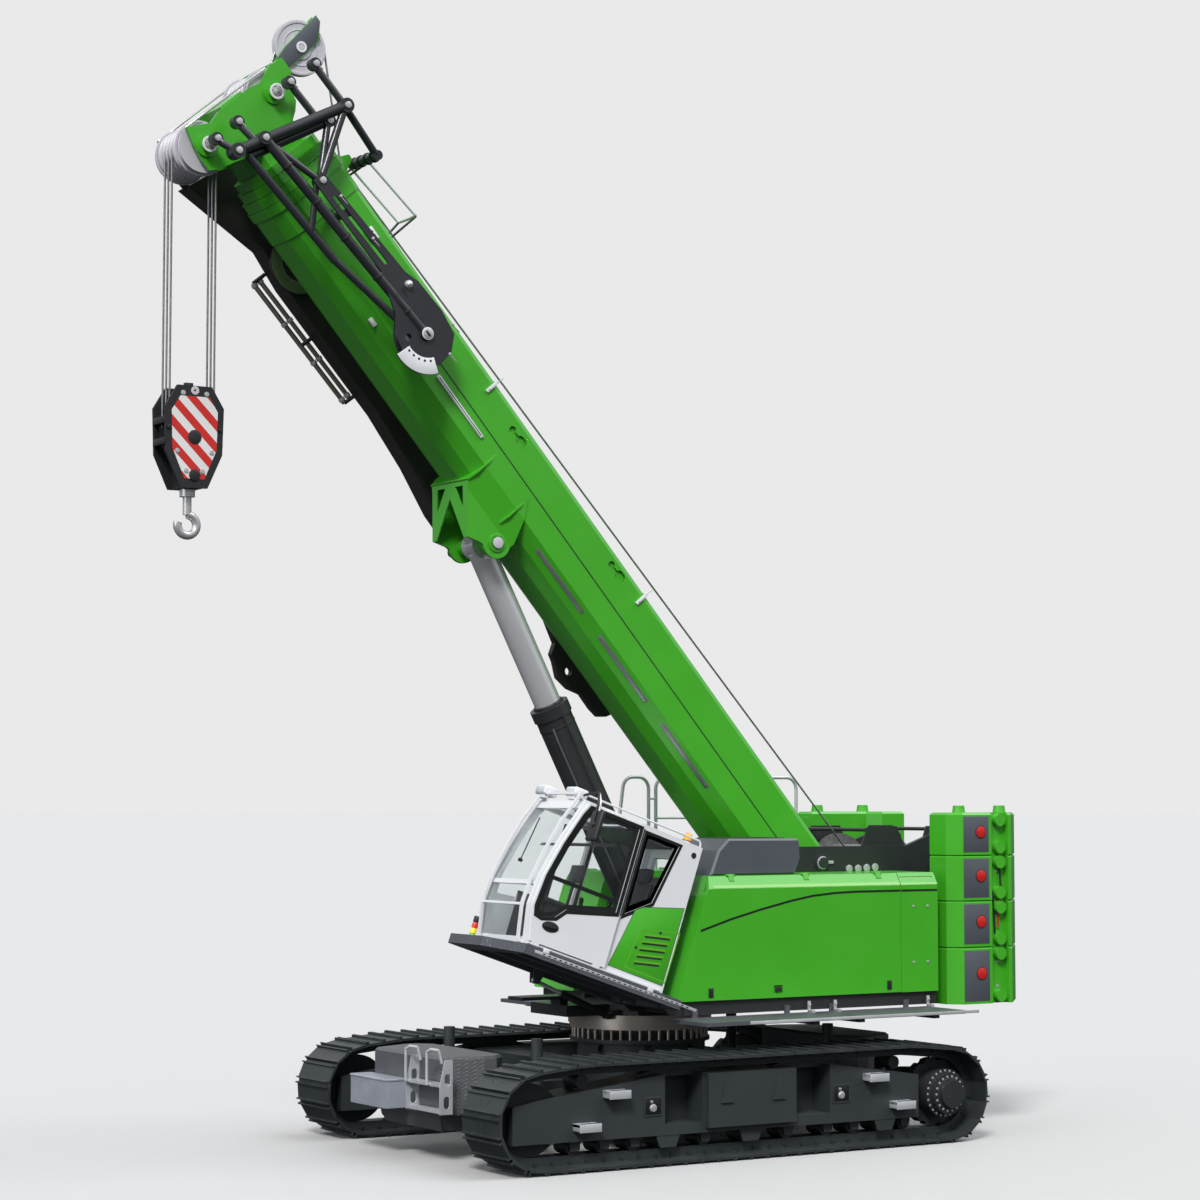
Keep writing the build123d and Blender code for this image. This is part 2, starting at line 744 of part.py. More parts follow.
hood_top_y = upper_half_width - 80
hinge_y = hood_top_y - 5
hinge_z = housing_top_z + 2
hood_hinge_xs = (-250, -1250, -2250)
knuckle_radius = 16.0
hood_pin_radius = 8.0
for name, hand in (("housing_left", 1), ("housing_right", -1)):
    with BuildPart() as housing:
        # closed box, then its inside, then the big side door's opening
        with BuildSketch(side(hand * housing_inner_y)):
            outline(
                (
                    (housing_rear_x, housing_bottom_z),
                    (front_x(housing_bottom_z), housing_bottom_z),
                    (front_x(housing_top_z), housing_top_z),
                    (housing_rear_x, housing_top_z),
                )
            )
        extrude(amount=-hand * (upper_half_width - housing_inner_y))
        with BuildSketch(Plane.YZ.offset(housing_rear_x)):
            outline(
                (
                    (hand * (upper_half_width + 1), 2789),
                    (hand * (upper_half_width + 1), housing_top_z + 1),
                    (hand * hood_top_y, housing_top_z + 1),
                )
            )
        extrude(amount=housing_front_x - housing_rear_x, mode=Mode.SUBTRACT)
        with BuildSketch(side(hand * (housing_inner_y + skin))):
            outline(
                (
                    (housing_rear_x + skin, housing_bottom_z + skin),
                    (front_x(housing_bottom_z) - skin * 1.6, housing_bottom_z + skin),
                    (front_x(housing_top_z) - skin * 0.8, housing_top_z - skin),
                    (housing_rear_x + skin, housing_top_z - skin),
                )
            )
        extrude(amount=-hand * (upper_half_width - housing_inner_y - 2 * skin), mode=Mode.SUBTRACT)
        with BuildSketch(side(hand * (upper_half_width - skin - door_clearance))):
            outline(
                (
                    (door_split_x, housing_bottom_z - 5),
                    (housing_front_x + 5, housing_bottom_z - 5),
                    (housing_front_x + 5, housing_top_z + 5),
                    (door_split_x, housing_top_z + 5),
                )
            )
        extrude(amount=-hand * 300, mode=Mode.SUBTRACT)
        with BuildSketch(side(hand * (hinge_y - 4))):
            with Locations(((door_split_x + housing_front_x) / 2, housing_top_z - 70)):
                Rectangle(housing_front_x - door_split_x + 5, 200)
        extrude(amount=-hand * 300, mode=Mode.SUBTRACT)
        # notches, lugs and pins for the big door's hinge knuckles
        for hinge_x in hood_hinge_xs:
            with BuildSketch(Plane.YZ.offset(hinge_x - 38)):
                with Locations((hand * hinge_y, hinge_z)):
                    Circle(knuckle_radius + 4)
            extrude(amount=76, mode=Mode.SUBTRACT)
            for lug_x in (hinge_x - 50, hinge_x + 38):
                with BuildSketch(Plane.YZ.offset(lug_x)):
                    with Locations((hand * hinge_y, hinge_z)):
                        Circle(knuckle_radius)
                    with Locations((hand * (hinge_y - 25), hinge_z)):
                        Rectangle(50, knuckle_radius)
                extrude(amount=12)
            with BuildSketch(Plane.YZ.offset(hinge_x - 50)):
                with Locations((hand * hinge_y, hinge_z)):
                    Circle(hood_pin_radius)
            extrude(amount=100)
    housing.part.label = name
    export_step(housing.part, f"parts/{name}.step")

for name, hand in (("hood_left", 1), ("hood_right", -1)):
    with BuildPart() as hood:
        with BuildSketch(side(hand * hood_top_y)):
            outline(
                (
                    (door_split_x + door_clearance, housing_bottom_z + 4),
                    (front_x(housing_bottom_z), housing_bottom_z + 4),
                    (front_x(housing_top_z), housing_top_z - 4),
                    (door_split_x + door_clearance, housing_top_z - 4),
                )
            )
        extrude(amount=-hand * (upper_half_width - hood_top_y))
        with BuildSketch(Plane.YZ.offset(door_split_x)):
            outline(
                (
                    (hand * upper_half_width, 2789),
                    (hand * (upper_half_width + 1), housing_top_z + 1),
                    (hand * hood_top_y, housing_top_z + 1),
                    (hand * hood_top_y, housing_top_z - 4),
                )
            )
            outline(
                (
                    (hand * (hood_top_y - 1), housing_bottom_z - 5),
                    (hand * (upper_half_width - skin), housing_bottom_z - 5),
                    (hand * (upper_half_width - skin), 2775),
                    (hand * (hood_top_y - 1), 2850),
                )
            )
        extrude(amount=housing_front_x - door_split_x + 5, mode=Mode.SUBTRACT)
        # pressed-in grab recess
        with BuildSketch(side(hand * upper_half_width)):
            with Locations((-829, 1690)):
                RectangleRounded(120, 90, 14)
        extrude(amount=hand * 20, mode=Mode.SUBTRACT)
        # knuckles that turn on the housing's pins
        for hinge_x in hood_hinge_xs:
            with BuildSketch(Plane.YZ.offset(hinge_x - 56)):
                with Locations((hand * hinge_y, hinge_z)):
                    Circle(knuckle_radius + 5)
            extrude(amount=112, mode=Mode.SUBTRACT)
            with BuildSketch(Plane.YZ.offset(hinge_x - 33)):
                outline(
                    (
                        (hand * hinge_y, hinge_z + knuckle_radius),
                        (hand * (hinge_y + 12), hinge_z + knuckle_radius - 3),
                        (hand * (hinge_y + 42), hinge_z - 56),
                        (hand * (hinge_y + 36), hinge_z - 96),
                        (hand * (hinge_y + 24), hinge_z - 80),
                        (hand * (hinge_y + 10), hinge_z - 10),
                    )
                )
                with Locations((hand * hinge_y, hinge_z)):
                    Circle(knuckle_radius)
                    Circle(hood_pin_radius + running, mode=Mode.SUBTRACT)
            extrude(amount=66)
    hood.part.label = name
    export_step(hood.part, f"parts/{name}.step")

with BuildPart() as engine_block:
    with BuildSketch(Plane.XY.offset(housing_bottom_z + skin)):
        with Locations((-1500, -1030)):
            Rectangle(1300, 560)
    extrude(amount=900)
    chamfer(engine_block.edges().filter_by(Axis.Z), 60)
engine_block.part.label = "engine_block"
export_step(engine_block.part, "parts/engine_block.step")

with BuildPart() as fluid_tanks:
    for tank_x, tank_length in ((-1750, 1100), (-650, 900)):
        with BuildSketch(Plane.XY.offset(housing_bottom_z + skin)):
            with Locations((tank_x, 1030)):
                RectangleRounded(tank_length, 560, 60)
        extrude(amount=980)
fluid_tanks.part.label = "fluid_tanks"
export_step(fluid_tanks.part, "parts/fluid_tanks.step")

with BuildPart() as intake_cover:
    with BuildSketch(side(housing_inner_y)):
        outline(
            (
                (-41, housing_top_z),
                (-150, 3200),
                (-285, 3326),
                (-1215, 3322),
                (-1237, 3290),
                (-1250, 3100),
                (-1170, housing_top_z),
            )
        )
    extrude(amount=-710)
    chamfer(intake_cover.faces().sort_by(Axis.Y)[-1].edges(), 22)
intake_cover.part.label = "intake_cover"
export_step(intake_cover.part, "parts/intake_cover.step")

# ---------------------------------------------------------------- catwalks and rails
walk_top_z = 1425.0
walk_outer_y = 2150.0
for name, hand in (("catwalk_left", 1), ("catwalk_right", -1)):
    with BuildPart() as catwalk:
        for start, end in ((550, -1262), (-1270, -2904)):
            with BuildSketch(Plane.XY.offset(walk_top_z)):
                with Locations(((start + end) / 2, hand * (upper_half_width - 40 + walk_outer_y) / 2)):
                    Rectangle(start - end, walk_outer_y - upper_half_width + 40)
            extrude(amount=-40)
            for arm_x in (start - 300, end + 300):
                with BuildSketch(side(hand * (upper_half_width - 40))):
                    with Locations((arm_x, walk_top_z - 62)):
                        Rectangle(80, 50)
                extrude(amount=-hand * 560)
                # bolting lug up against the deck's side bearer
                with BuildSketch(side(hand * (upper_half_width - 40))):
                    with Locations((arm_x, walk_top_z + 40)):
                        Rectangle(60, 90)
                extrude(amount=-hand * 26)
    catwalk.part.label = name
    export_step(catwalk.part, f"parts/{name}.step")

rail_y = -1400.0
rail_top_z = 4015.0
rail_bend = 140.0
rail_radius = 21.0
with BuildPart() as deck_rails:
    # start x, end x and lean of the front post of each bay
    for start, end, lean in ((-690, -1033, 150), (-1135, -3190, 0)):
        rail_foot_z = housing_top_z + seat
        lean_rise = rail_radius * lean / (rail_top_z - housing_top_z)
        corners = (
            (start + lean, rail_foot_z + lean_rise),
            (start, rail_top_z),
            (end, rail_top_z),
            (end, rail_foot_z),
        )
        tube([(x, rail_y, z) for x, z in corners], rail_radius, rail_bend)
    for start, end, level in ((-1033, -1135, 3760), (-1135, -3190, 3530)):
        bar((start, rail_y, level), (end, rail_y, level), 14)
deck_rails.part.label = "deck_rails"
export_step(deck_rails.part, "parts/deck_rails.step")

# ---------------------------------------------------------------- counterweight stacks
recess_x = (-4030.0, -3790.0)
for name, hand in (("counterweight_left", 1), ("counterweight_right", -1)):
    with BuildPart() as counterweight:
        for low, high in zip(slab_levels[:-1], slab_levels[1:]):
            with BuildSketch(Plane.XY.offset(low)):
                outline(
                    (
                        (slab_front_x, hand * slab_inner_y),
                        (slab_front_x, hand * (slab_outer_y - 140)),
                        (slab_front_x - 140, hand * slab_outer_y),
                        (slab_rear_x + 420, hand * slab_outer_y),
                        (slab_rear_x, hand * (slab_outer_y - 440)),
                        (slab_rear_x, hand * (slab_inner_y - 200)),
                        (slab_rear_x + 340, hand * (slab_inner_y - 200)),
                        (slab_rear_x + 440, hand * slab_inner_y),
                    )
                )
            extrude(amount=high - low)
            for face in (counterweight.faces().filter_by_position(Axis.Z, high - 1, high + 1)):
                chamfer(face.outer_wire().edges(), 26)
        # recess with the lashing bosses, outside and inside
        with BuildSketch(Plane.XY.offset(slab_levels[0] - 5)):
            with Locations((sum(recess_x) / 2, hand * slab_outer_y)):
                Rectangle(recess_x[1] - recess_x[0], 130)
        extrude(amount=slab_levels[-1] - slab_levels[0] + 10, mode=Mode.SUBTRACT)
        for low, high in zip(slab_levels[:-1], slab_levels[1:]):
            for boss_z in (low + 85, high - 85):
                with BuildSketch(side(hand * (slab_outer_y - 66))):
                    with Locations((sum(recess_x) / 2, boss_z)):
                        Circle(72)
                extrude(amount=-hand * 80)
        for boss_x, boss_y in ((-3480, 1360), (-4130, 1300)):
            with BuildSketch(Plane.XY.offset(slab_levels[-1])):
                with Locations((boss_x, hand * boss_y)):
                    Circle(75)
            extrude(amount=80, taper=8)
    counterweight.part.label = name
    export_step(counterweight.part, f"parts/{name}.step")

# ---------------------------------------------------------------- winch
drum_x = -3120.0
drum_z = 2930.0
winch_radius = 290.0
flange_radius = 420.0
drum_half_width = 470.0
with BuildPart() as winch_drum:
    with BuildSketch(side(0)):
        with Locations((drum_x, drum_z)):
            Circle(winch_radius)
    extrude(amount=drum_half_width, both=True)
    for end_y in (drum_half_width, -drum_half_width + 24):
        with BuildSketch(side(end_y)):
            with Locations((drum_x, drum_z)):
                Circle(flange_radius)
        extrude(amount=24)
    with BuildSketch(side(0)):
        with Locations((drum_x, drum_z)):
            Circle(90)
    extrude(amount=deck_plate_y - running, both=True)
winch_drum.part.label = "winch_drum"
export_step(winch_drum.part, "parts/winch_drum.step")

with BuildPart() as winch_guards:
    # upright guard plates over the drum
    for guard_y in (deck_plate_y - seat, -deck_plate_y + 20 + seat):
        with BuildSketch(side(guard_y)):
            outline(
                (
                    (-2680, 3190),
                    (-2790, 3440),
                    (-3210, 3440),
                    (-3330, 3190),
                )
            )
            outline(((-3560, 3200), (-3650, 3440), (-4010, 3440), (-4080, 3200)))
        extrude(amount=20)
    bar((-2760, -deck_plate_y + 2, 3400), (-2760, deck_plate_y - 2, 3400), 22)
    bar((-3970, -deck_plate_y + 2, 3400), (-3970, deck_plate_y - 2, 3400), 22)
    with BuildSketch(Plane.XY.offset(3180)):
        with Locations((-3830, 0)):
            Rectangle(420, 2 * deck_plate_y - 10)
    extrude(amount=20)
winch_guards.part.label = "winch_guards"
export_step(winch_guards.part, "parts/winch_guards.step")

# ---------------------------------------------------------------- cab
platform_depth = 100.0
cab_roof_b = 1660.0
cab_rear_a = 180.0
cab_shell_outer_y = cab_outer_y - 40 - door_clearance
# the nose's curve from the floor up to the roof
front_curve = (
    (1971, 0),
    (2059, 441),
    (2027, 760),
    (1926, 1149),
    (1793, 1530),
    (1735, 1655),
)


def cab_profile(inset):
    """Side outline of the cab (a, b), drawn in by inset at the rear, roof, floor and nose."""
    nose = [(a - inset, max(b, seat + inset)) for a, b in front_curve[:-1]]
    return [
        (cab_rear_a + inset, seat + inset),
        *nose,
        (front_curve[-1][0] - inset * 1.1, cab_roof_b + 10 - inset),
        (1252, cab_roof_b + 9 - inset),
        (cab_rear_a + inset, cab_roof_b - inset),
    ]


with BuildPart() as cab_platform:
    with BuildSketch(cab_level(-platform_depth)):
        outline(
            (
                (70, 400),
                (2260, 400),
                (2290, 460),
                (2290, 1150),
                (2240, 1260),
                (2120, 1750),
                (110, 1750),
                (70, 1700),
            )
        )
    extrude(amount=platform_depth)
    # hollow frame below the tread plate
    with BuildSketch(cab_level(-platform_depth)):
        for low, high in ((450, 900), (960, 1390), (1450, 1700)):
            with Locations((1100, (low + high) / 2)):
                Rectangle(1900, high - low)
    extrude(amount=platform_depth - 20, mode=Mode.SUBTRACT)
    # hinge tube with its pin
    with BuildSketch(cab_side(hinge_lug_y[1] - seat)):
        with Locations((hinge_a, hinge_b)):
            Circle(hinge_tube_radius)
    extrude(amount=hinge_lug_y[1] - hinge_lug_y[0] - hinge_lug - 2 * seat)
    with BuildSketch(cab_level(-platform_depth - 1)):
        for lug_y in hinge_lug_y:
            with Locations((100, lug_y + hinge_lug / 2)):
                Rectangle(160, hinge_lug + 12)
    extrude(amount=platform_depth + 2, mode=Mode.SUBTRACT)
    with BuildSketch(cab_side(hinge_lug_y[1] + hinge_lug + 8)):
        with Locations((hinge_a, hinge_b)):
            Circle(hinge_pin_radius)
    extrude(amount=hinge_lug_y[1] - hinge_lug_y[0] + hinge_lug + 16)
    # ears of the tilting cylinder's rod
    for ear_y in (tilt_cylinder_y + 44, tilt_cylinder_y - 28):
        with BuildSketch(cab_side(ear_y)):
            outline(
                (
                    (tilt_eye_a - 90, -18),
                    (tilt_eye_a - 32, tilt_eye_b - 32),
                    (tilt_eye_a + 32, tilt_eye_b - 32),
                    (tilt_eye_a + 90, -18),
                )
            )
        extrude(amount=16)
    with BuildSketch(cab_side(tilt_cylinder_y + 30)):
        with Locations((tilt_eye_a, tilt_eye_b)):
            Circle(13)
    extrude(amount=60)
cab_platform.part.label = "cab_platform"
export_step(cab_platform.part, "parts/cab_platform.step")

door_top_b = 1640.0
door_rear_a = 985.0
runner_b = 46.0                   # the cab door's runner: underside, depth and outer face
runner_depth = 16.0
runner_outer_y = 1488.0
door_outline = (
    (door_rear_a, 75),
    (1945, 75),
    (2033, 441),
    (2001, 760),
    (1900, 1149),
    (1767, 1530),
    (1712, door_top_b),
    (door_rear_a, door_top_b),
)
door_window = (
    (1035, 665),
    (1630, 505),
    (1730, 395),
    (1890, 345),
    (1955, 365),
    (1975, 441),
    (1943, 760),
    (1845, 1140),
    (1716, 1500),
    (1662, 1590),
    (1035, 1590),
)
rear_side_window = ((470, 1580), (612, 905), (905, 690), (905, 1580))
screen_low_b = 100.0
screen_high_b = 1570.0
guard_curve = ((2035, 40), (2112, 422), (2094, 700), (2025, 1050), (1934, 1390), (1790, 1750))
louvre_count = 5
louvre_pitch = 76.0
louvre_depth = 9.0
beacon_a = 238.0
beacon_y = 1200.0
beacon_radius = 46.0
roof_rail_y = 1436.0
mirror_y = 1750.0
mirror_b = 1392.0
mirror_width = 190.0
mirror_height = 316.0
with BuildPart() as cab_shell:
    with BuildSketch(cab_side(cab_shell_outer_y)):
        outline(cab_profile(0))
    extrude(amount=cab_shell_outer_y - cab_half_gap_y)
    with BuildSketch(cab_side(cab_shell_outer_y - cab_wall)):
        outline(cab_profile(cab_wall))
    extrude(amount=cab_shell_outer_y - cab_half_gap_y - 2 * cab_wall, mode=Mode.SUBTRACT)
    # doorway and side windows
    with BuildSketch(cab_side(cab_outer_y)):
        outline(
            (
                (door_rear_a + 45, 110),
                (1900, 110),
                (1978, 441),
                (1945, 760),
                (1845, 1140),
                (1716, 1500),
                (1662, 1590),
                (door_rear_a + 45, 1590),
            )
        )
        outline(rear_side_window)
    extrude(amount=200, mode=Mode.SUBTRACT)
    with BuildSketch(cab_side(cab_half_gap_y + 100)):
        outline(
            (
                (1035, 665),
                (1943, 560),
                (1943, 760),
                (1845, 1140),
                (1716, 1500),
                (1662, 1590),
                (1035, 1590),
            )
        )
        outline(((300, 700), (950, 690), (950, 1580), (300, 1580)))
    extrude(amount=200, mode=Mode.SUBTRACT)
    # windscreen, its lower pane divided off by a cross bar
    for low, high in ((screen_low_b, 650), (700, screen_high_b)):
        with BuildSketch(cab_side(cab_shell_outer_y - cab_wall)):
            outline(((1600, low), (2200, low), (2200, high), (1600, high)))
        extrude(amount=cab_shell_outer_y - cab_half_gap_y - 2 * cab_wall, mode=Mode.SUBTRACT)
    # roof light and rear window
    with BuildSketch(cab_level(cab_roof_b - 200)):
        with Locations((1260, 1000)):
            Rectangle(620, 740)
    extrude(amount=400, mode=Mode.SUBTRACT)
    with BuildSketch(cab_cross(cab_rear_a - 50)):
        with Locations((1000, 1240)):
            Rectangle(760, 560)
    extrude(amount=200, mode=Mode.SUBTRACT)
    # front guard of flat bars, its roof rail and feet
    for bar_y in (1400, 590):
        with BuildSketch(cab_side(bar_y)):
            outline([*guard_curve, *((a - 30, b) for a, b in reversed(guard_curve))])
            outline(((1960, 40), (2035, 40), (2035, 70), (1960, 70)))
            outline(((1700, 1640), (1800, 1700), (1790, 1750), (1690, 1665)))
        extrude(amount=30)
    for rail_a, rail_b in ((1775, 1735), (2090, 420)):
        with BuildSketch(cab_side(1400)):
            with Locations((rail_a, rail_b)):
                Rectangle(26, 26)
        extrude(amount=840)
    # louvres of the rear panel
    for k in range(louvre_count):
        with BuildSketch(cab_side(cab_shell_outer_y)):
            with Locations((427 + 10 * k, 574 - louvre_pitch * k)):
                SlotOverall(330, 24, rotation=-12)
        extrude(amount=louvre_depth, mode=Mode.SUBTRACT)
    # work lamps over the windscreen: centre a, y, underside b
    for lamp_a, lamp_y, lamp_b in ((1738, 602, 1724), (1606, 1000, 1748)):
        with BuildSketch(cab_level(lamp_b)):
            with Locations((lamp_a, lamp_y)):
                RectangleRounded(150, 172, 24)
        extrude(amount=62)
        with BuildSketch(cab_level(lamp_b - 40)):
            with Locations((lamp_a + 34, lamp_y)):
                RectangleRounded(70, 140, 16)
        extrude(amount=42)
    with BuildSketch(cab_level(cab_roof_b - 10)):
        with Locations((1606, 1000)):
            Rectangle(56, 90)
    extrude(amount=100)
    # beacon at the roof's rear corner
    with BuildSketch(cab_level(cab_roof_b - 5)):
        with Locations((beacon_a, beacon_y)):
            Circle(beacon_radius + 4)
    extrude(amount=64)
    with BuildSketch(cab_level(cab_roof_b + 59)):
        with Locations((beacon_a, beacon_y)):
            Circle(beacon_radius)
    extrude(amount=46)
    with Locations(cab_point(beacon_a, beacon_y, cab_roof_b + 105)):
        Sphere(beacon_radius)
    # rail along the roof's outer edge
    tube(
        [
            cab_point(1775, 1385, 1735),
            cab_point(1690, roof_rail_y, 1726),
            cab_point(212, roof_rail_y, 1722),
            cab_point(204, roof_rail_y, cab_roof_b - 5),
        ],
        11,
        40,
    )
    # mirror on its arm off the guard's top
    tube(
        [
            cab_point(1752, 1385, 1722),
            cab_point(1752, mirror_y - 60, 1750),
            cab_point(1735, mirror_y, 1640),
            cab_point(1722, mirror_y, 1400),
        ],
        12,
        40,
    )
    with BuildSketch(cab_cross(1700)):
        with Locations((mirror_y, mirror_b)):
            RectangleRounded(mirror_width, mirror_height, 60)
    extrude(amount=42)
    # runner that carries the sliding door
    with BuildSketch(cab_level(runner_b)):
        with Locations((1085, (cab_shell_outer_y + runner_outer_y) / 2 - 3)):
            Rectangle(1720, runner_outer_y - cab_shell_outer_y + 6)
    extrude(amount=runner_depth)
cab_shell.part.label = "cab_shell"
export_step(cab_shell.part, "parts/cab_shell.step")

pane = 8.0
with BuildPart() as cab_glazing:
    # bent windscreen panes, upper and lower
    screen_inner_y = cab_half_gap_y + cab_wall + seat
    screen_width = cab_shell_outer_y - cab_half_gap_y - 2 * cab_wall - 2 * seat
    for rows in (
        ((1975, screen_low_b + seat), (2037, 441), (2022, 650 - seat)),
        ((2017, 700 + seat), (2010, 760), (1910, 1149), (1777, 1530), (1765, screen_high_b - seat)),
    ):
        with BuildSketch(cab_side(screen_inner_y + screen_width)):
            outline((*rows, *((a - pane, b) for a, b in reversed(rows))))
        extrude(amount=screen_width)
    # side panes
    with BuildSketch(cab_side(cab_shell_outer_y - 10)):
        outline(((474, 1580 - seat), (614, 909), (905 - seat, 694), (905 - seat, 1580 - seat)))
    extrude(amount=pane)
    with BuildSketch(cab_side(cab_half_gap_y + 10 + pane)):
        outline(
            (
                (1035 + seat, 665 + seat),
                (1943 - 3, 560 + 3),
                (1943 - 3, 760),
                (1845 - 2, 1140),
                (1716 - 2, 1500),
                (1662 - 1, 1590 - seat),
                (1035 + seat, 1590 - seat),
            )
        )
        outline(((300 + seat, 701), (950 - seat, 691), (950 - seat, 1580 - seat), (300 + seat, 1580 - seat)))
    extrude(amount=pane)
    # roof light and rear pane
    with BuildSketch(cab_level(cab_roof_b - 18)):
        with Locations((1260, 1000)):
            Rectangle(620 - 2 * seat, 740 - 2 * seat)
    extrude(amount=pane)
    with BuildSketch(cab_cross(cab_rear_a + 10)):
        with Locations((1000, 1240)):
            Rectangle(760 - 2 * seat, 560 - 2 * seat)
    extrude(amount=pane)
cab_glazing.part.label = "cab_glazing"
export_step(cab_glazing.part, "parts/cab_glazing.step")

handle_a = 1756.0
handle_b = 278.0
handle_depth = 16.0
with BuildPart() as cab_door:
    with BuildSketch(cab_side(cab_outer_y)):
        outline(door_outline)
        outline(door_window, mode=Mode.SUBTRACT)
    extrude(amount=40)
    # oval handle recess with its grip
    with BuildSketch(cab_side(cab_outer_y)):
        with Locations((handle_a, handle_b)):
            Ellipse(96, 48, rotation=-4)
    extrude(amount=handle_depth, mode=Mode.SUBTRACT)
    with BuildSketch(cab_side(cab_outer_y - 4)):
        with Locations((handle_a, handle_b)):
            SlotOverall(198, 26, rotation=-4)
    extrude(amount=handle_depth)
    # shoes that slide on the runner and hook round its edge
    for shoe_a in (1090, 1870):
        with BuildSketch(cab_level(runner_b + runner_depth + running)):
            with Locations((shoe_a, cab_outer_y - 20)):
                Rectangle(90, 40)
        extrude(amount=40)
        with BuildSketch(cab_level(runner_b - 4)):
            with Locations((shoe_a, (runner_outer_y + running + cab_outer_y) / 2)):
                Rectangle(90, cab_outer_y - runner_outer_y - running)
        extrude(amount=60)
cab_door.part.label = "cab_door"
export_step(cab_door.part, "parts/cab_door.step")

with BuildPart() as door_pane:
    with BuildSketch(cab_side(cab_outer_y - 14)):
        outline(door_window)
        offset(amount=-seat, mode=Mode.REPLACE)
    extrude(amount=pane)
door_pane.part.label = "door_pane"
export_step(door_pane.part, "parts/door_pane.step")

with BuildPart() as cab_interior:
    # floor mat and step, seat on its pedestal, armrests with control levers, side desk
    with BuildSketch(cab_level(cab_wall + 2 * seat)):
        with Locations((1080, 977)):
            Rectangle(1660, 840)
    extrude(amount=12)
    # centre a, centre y, centre b, length, width, height
    blocks = (
        (760, 985, 190, 420, 420, 270),
        (790, 985, 390, 520, 500, 140),
        (545, 985, 790, 130, 480, 720),
        (560, 985, 1215, 100, 280, 190),
        (800, 700, 560, 460, 100, 110),
        (800, 1270, 560, 460, 100, 110),
        (640, 1270, 360, 160, 90, 330),
        (640, 700, 360, 160, 90, 330),
        (1700, 640, 330, 170, 130, 540),
        (1640, 640, 700, 60, 190, 220),
    )
    for a, y, b, length, width, height in blocks:
        with BuildSketch(cab_level(b - height / 2)):
            with Locations((a, y)):
                RectangleRounded(length, width, min(length, width) * 0.2)
        extrude(amount=height)
    for lever_y in (700, 1270):
        bar(cab_point(980, lever_y, 600), cab_point(1000, lever_y, 730), 14)
        bar(cab_point(1000, lever_y, 720), cab_point(1006, lever_y, 780), 24)
    # pedals
    for pedal_y in (880, 985, 1090):
        with BuildSketch(cab_level(cab_wall + 10)):
            with Locations((1700, pedal_y)):
                Rectangle(120, 60)
        extrude(amount=90)
cab_interior.part.label = "cab_interior"
export_step(cab_interior.part, "parts/cab_interior.step")

# tilting cylinder between the nose of the deck and the cab's platform
tilt_eye = cab_point(tilt_eye_a, tilt_cylinder_y, tilt_eye_b)
tilt_foot = Vector(tilt_foot_x, tilt_cylinder_y, tilt_foot_z)
tilt_axis = (tilt_eye - tilt_foot).normalized()
tilt_length = (tilt_eye - tilt_foot).length
with BuildPart() as cab_tilt_barrel:
    with BuildSketch(Plane(origin=tilt_foot + tilt_axis * 60, x_dir=(0, 1, 0), z_dir=tilt_axis)):
        Circle(tilt_barrel_radius)
    extrude(amount=600)
    with BuildSketch(Plane(origin=tilt_foot + tilt_axis * 100, x_dir=(0, 1, 0), z_dir=tilt_axis)):
        Circle(22 + running)
    extrude(amount=600, mode=Mode.SUBTRACT)
    with BuildSketch(side(tilt_cylinder_y + 25)):
        with Locations((tilt_foot_x, tilt_foot_z)):
            Circle(36)
    extrude(amount=50)
    with BuildSketch(Plane(origin=tilt_foot + tilt_axis * 20, x_dir=(0, 1, 0), z_dir=tilt_axis)):
        Rectangle(50, 60)
    extrude(amount=45)
    with BuildSketch(side(tilt_cylinder_y + 26)):
        with Locations((tilt_foot_x, tilt_foot_z)):
            Circle(18 + running)
    extrude(amount=52, mode=Mode.SUBTRACT)
cab_tilt_barrel.part.label = "cab_tilt_barrel"
export_step(cab_tilt_barrel.part, "parts/cab_tilt_barrel.step")

with BuildPart() as cab_tilt_rod:
    with BuildSketch(Plane(origin=tilt_foot + tilt_axis * 200, x_dir=(0, 1, 0), z_dir=tilt_axis)):
        Circle(22)
    extrude(amount=tilt_length - 200 - 20)
    with BuildSketch(side(tilt_cylinder_y + 25)):
        with Locations((tilt_eye.X, tilt_eye.Z)):
            Circle(34)
    extrude(amount=50)
    with BuildSketch(side(tilt_cylinder_y + 26)):
        with Locations((tilt_eye.X, tilt_eye.Z)):
            Circle(19)
    extrude(amount=52, mode=Mode.SUBTRACT)
cab_tilt_rod.part.label = "cab_tilt_rod"
export_step(cab_tilt_rod.part, "parts/cab_tilt_rod.step")

# ---------------------------------------------------------------- telescopic boom
foot_u = foot_x * boom_cos + foot_z * boom_sin
foot_v = foot_z * boom_cos - foot_x * boom_sin
section_step = boom_wall + boom_gap
section_start_u = 1070.0
collar_pitch = collar_length + 5
top_chamfer = (40.0, 60.0)
boom_corners = (
    (boom_half_width, 0),
    (-boom_half_width, 0),
    (-boom_half_width, -697),
    (-330, -835),
    (-170, -boom_height),
    (170, -boom_height),
    (330, -835),
    (boom_half_width, -697),
)


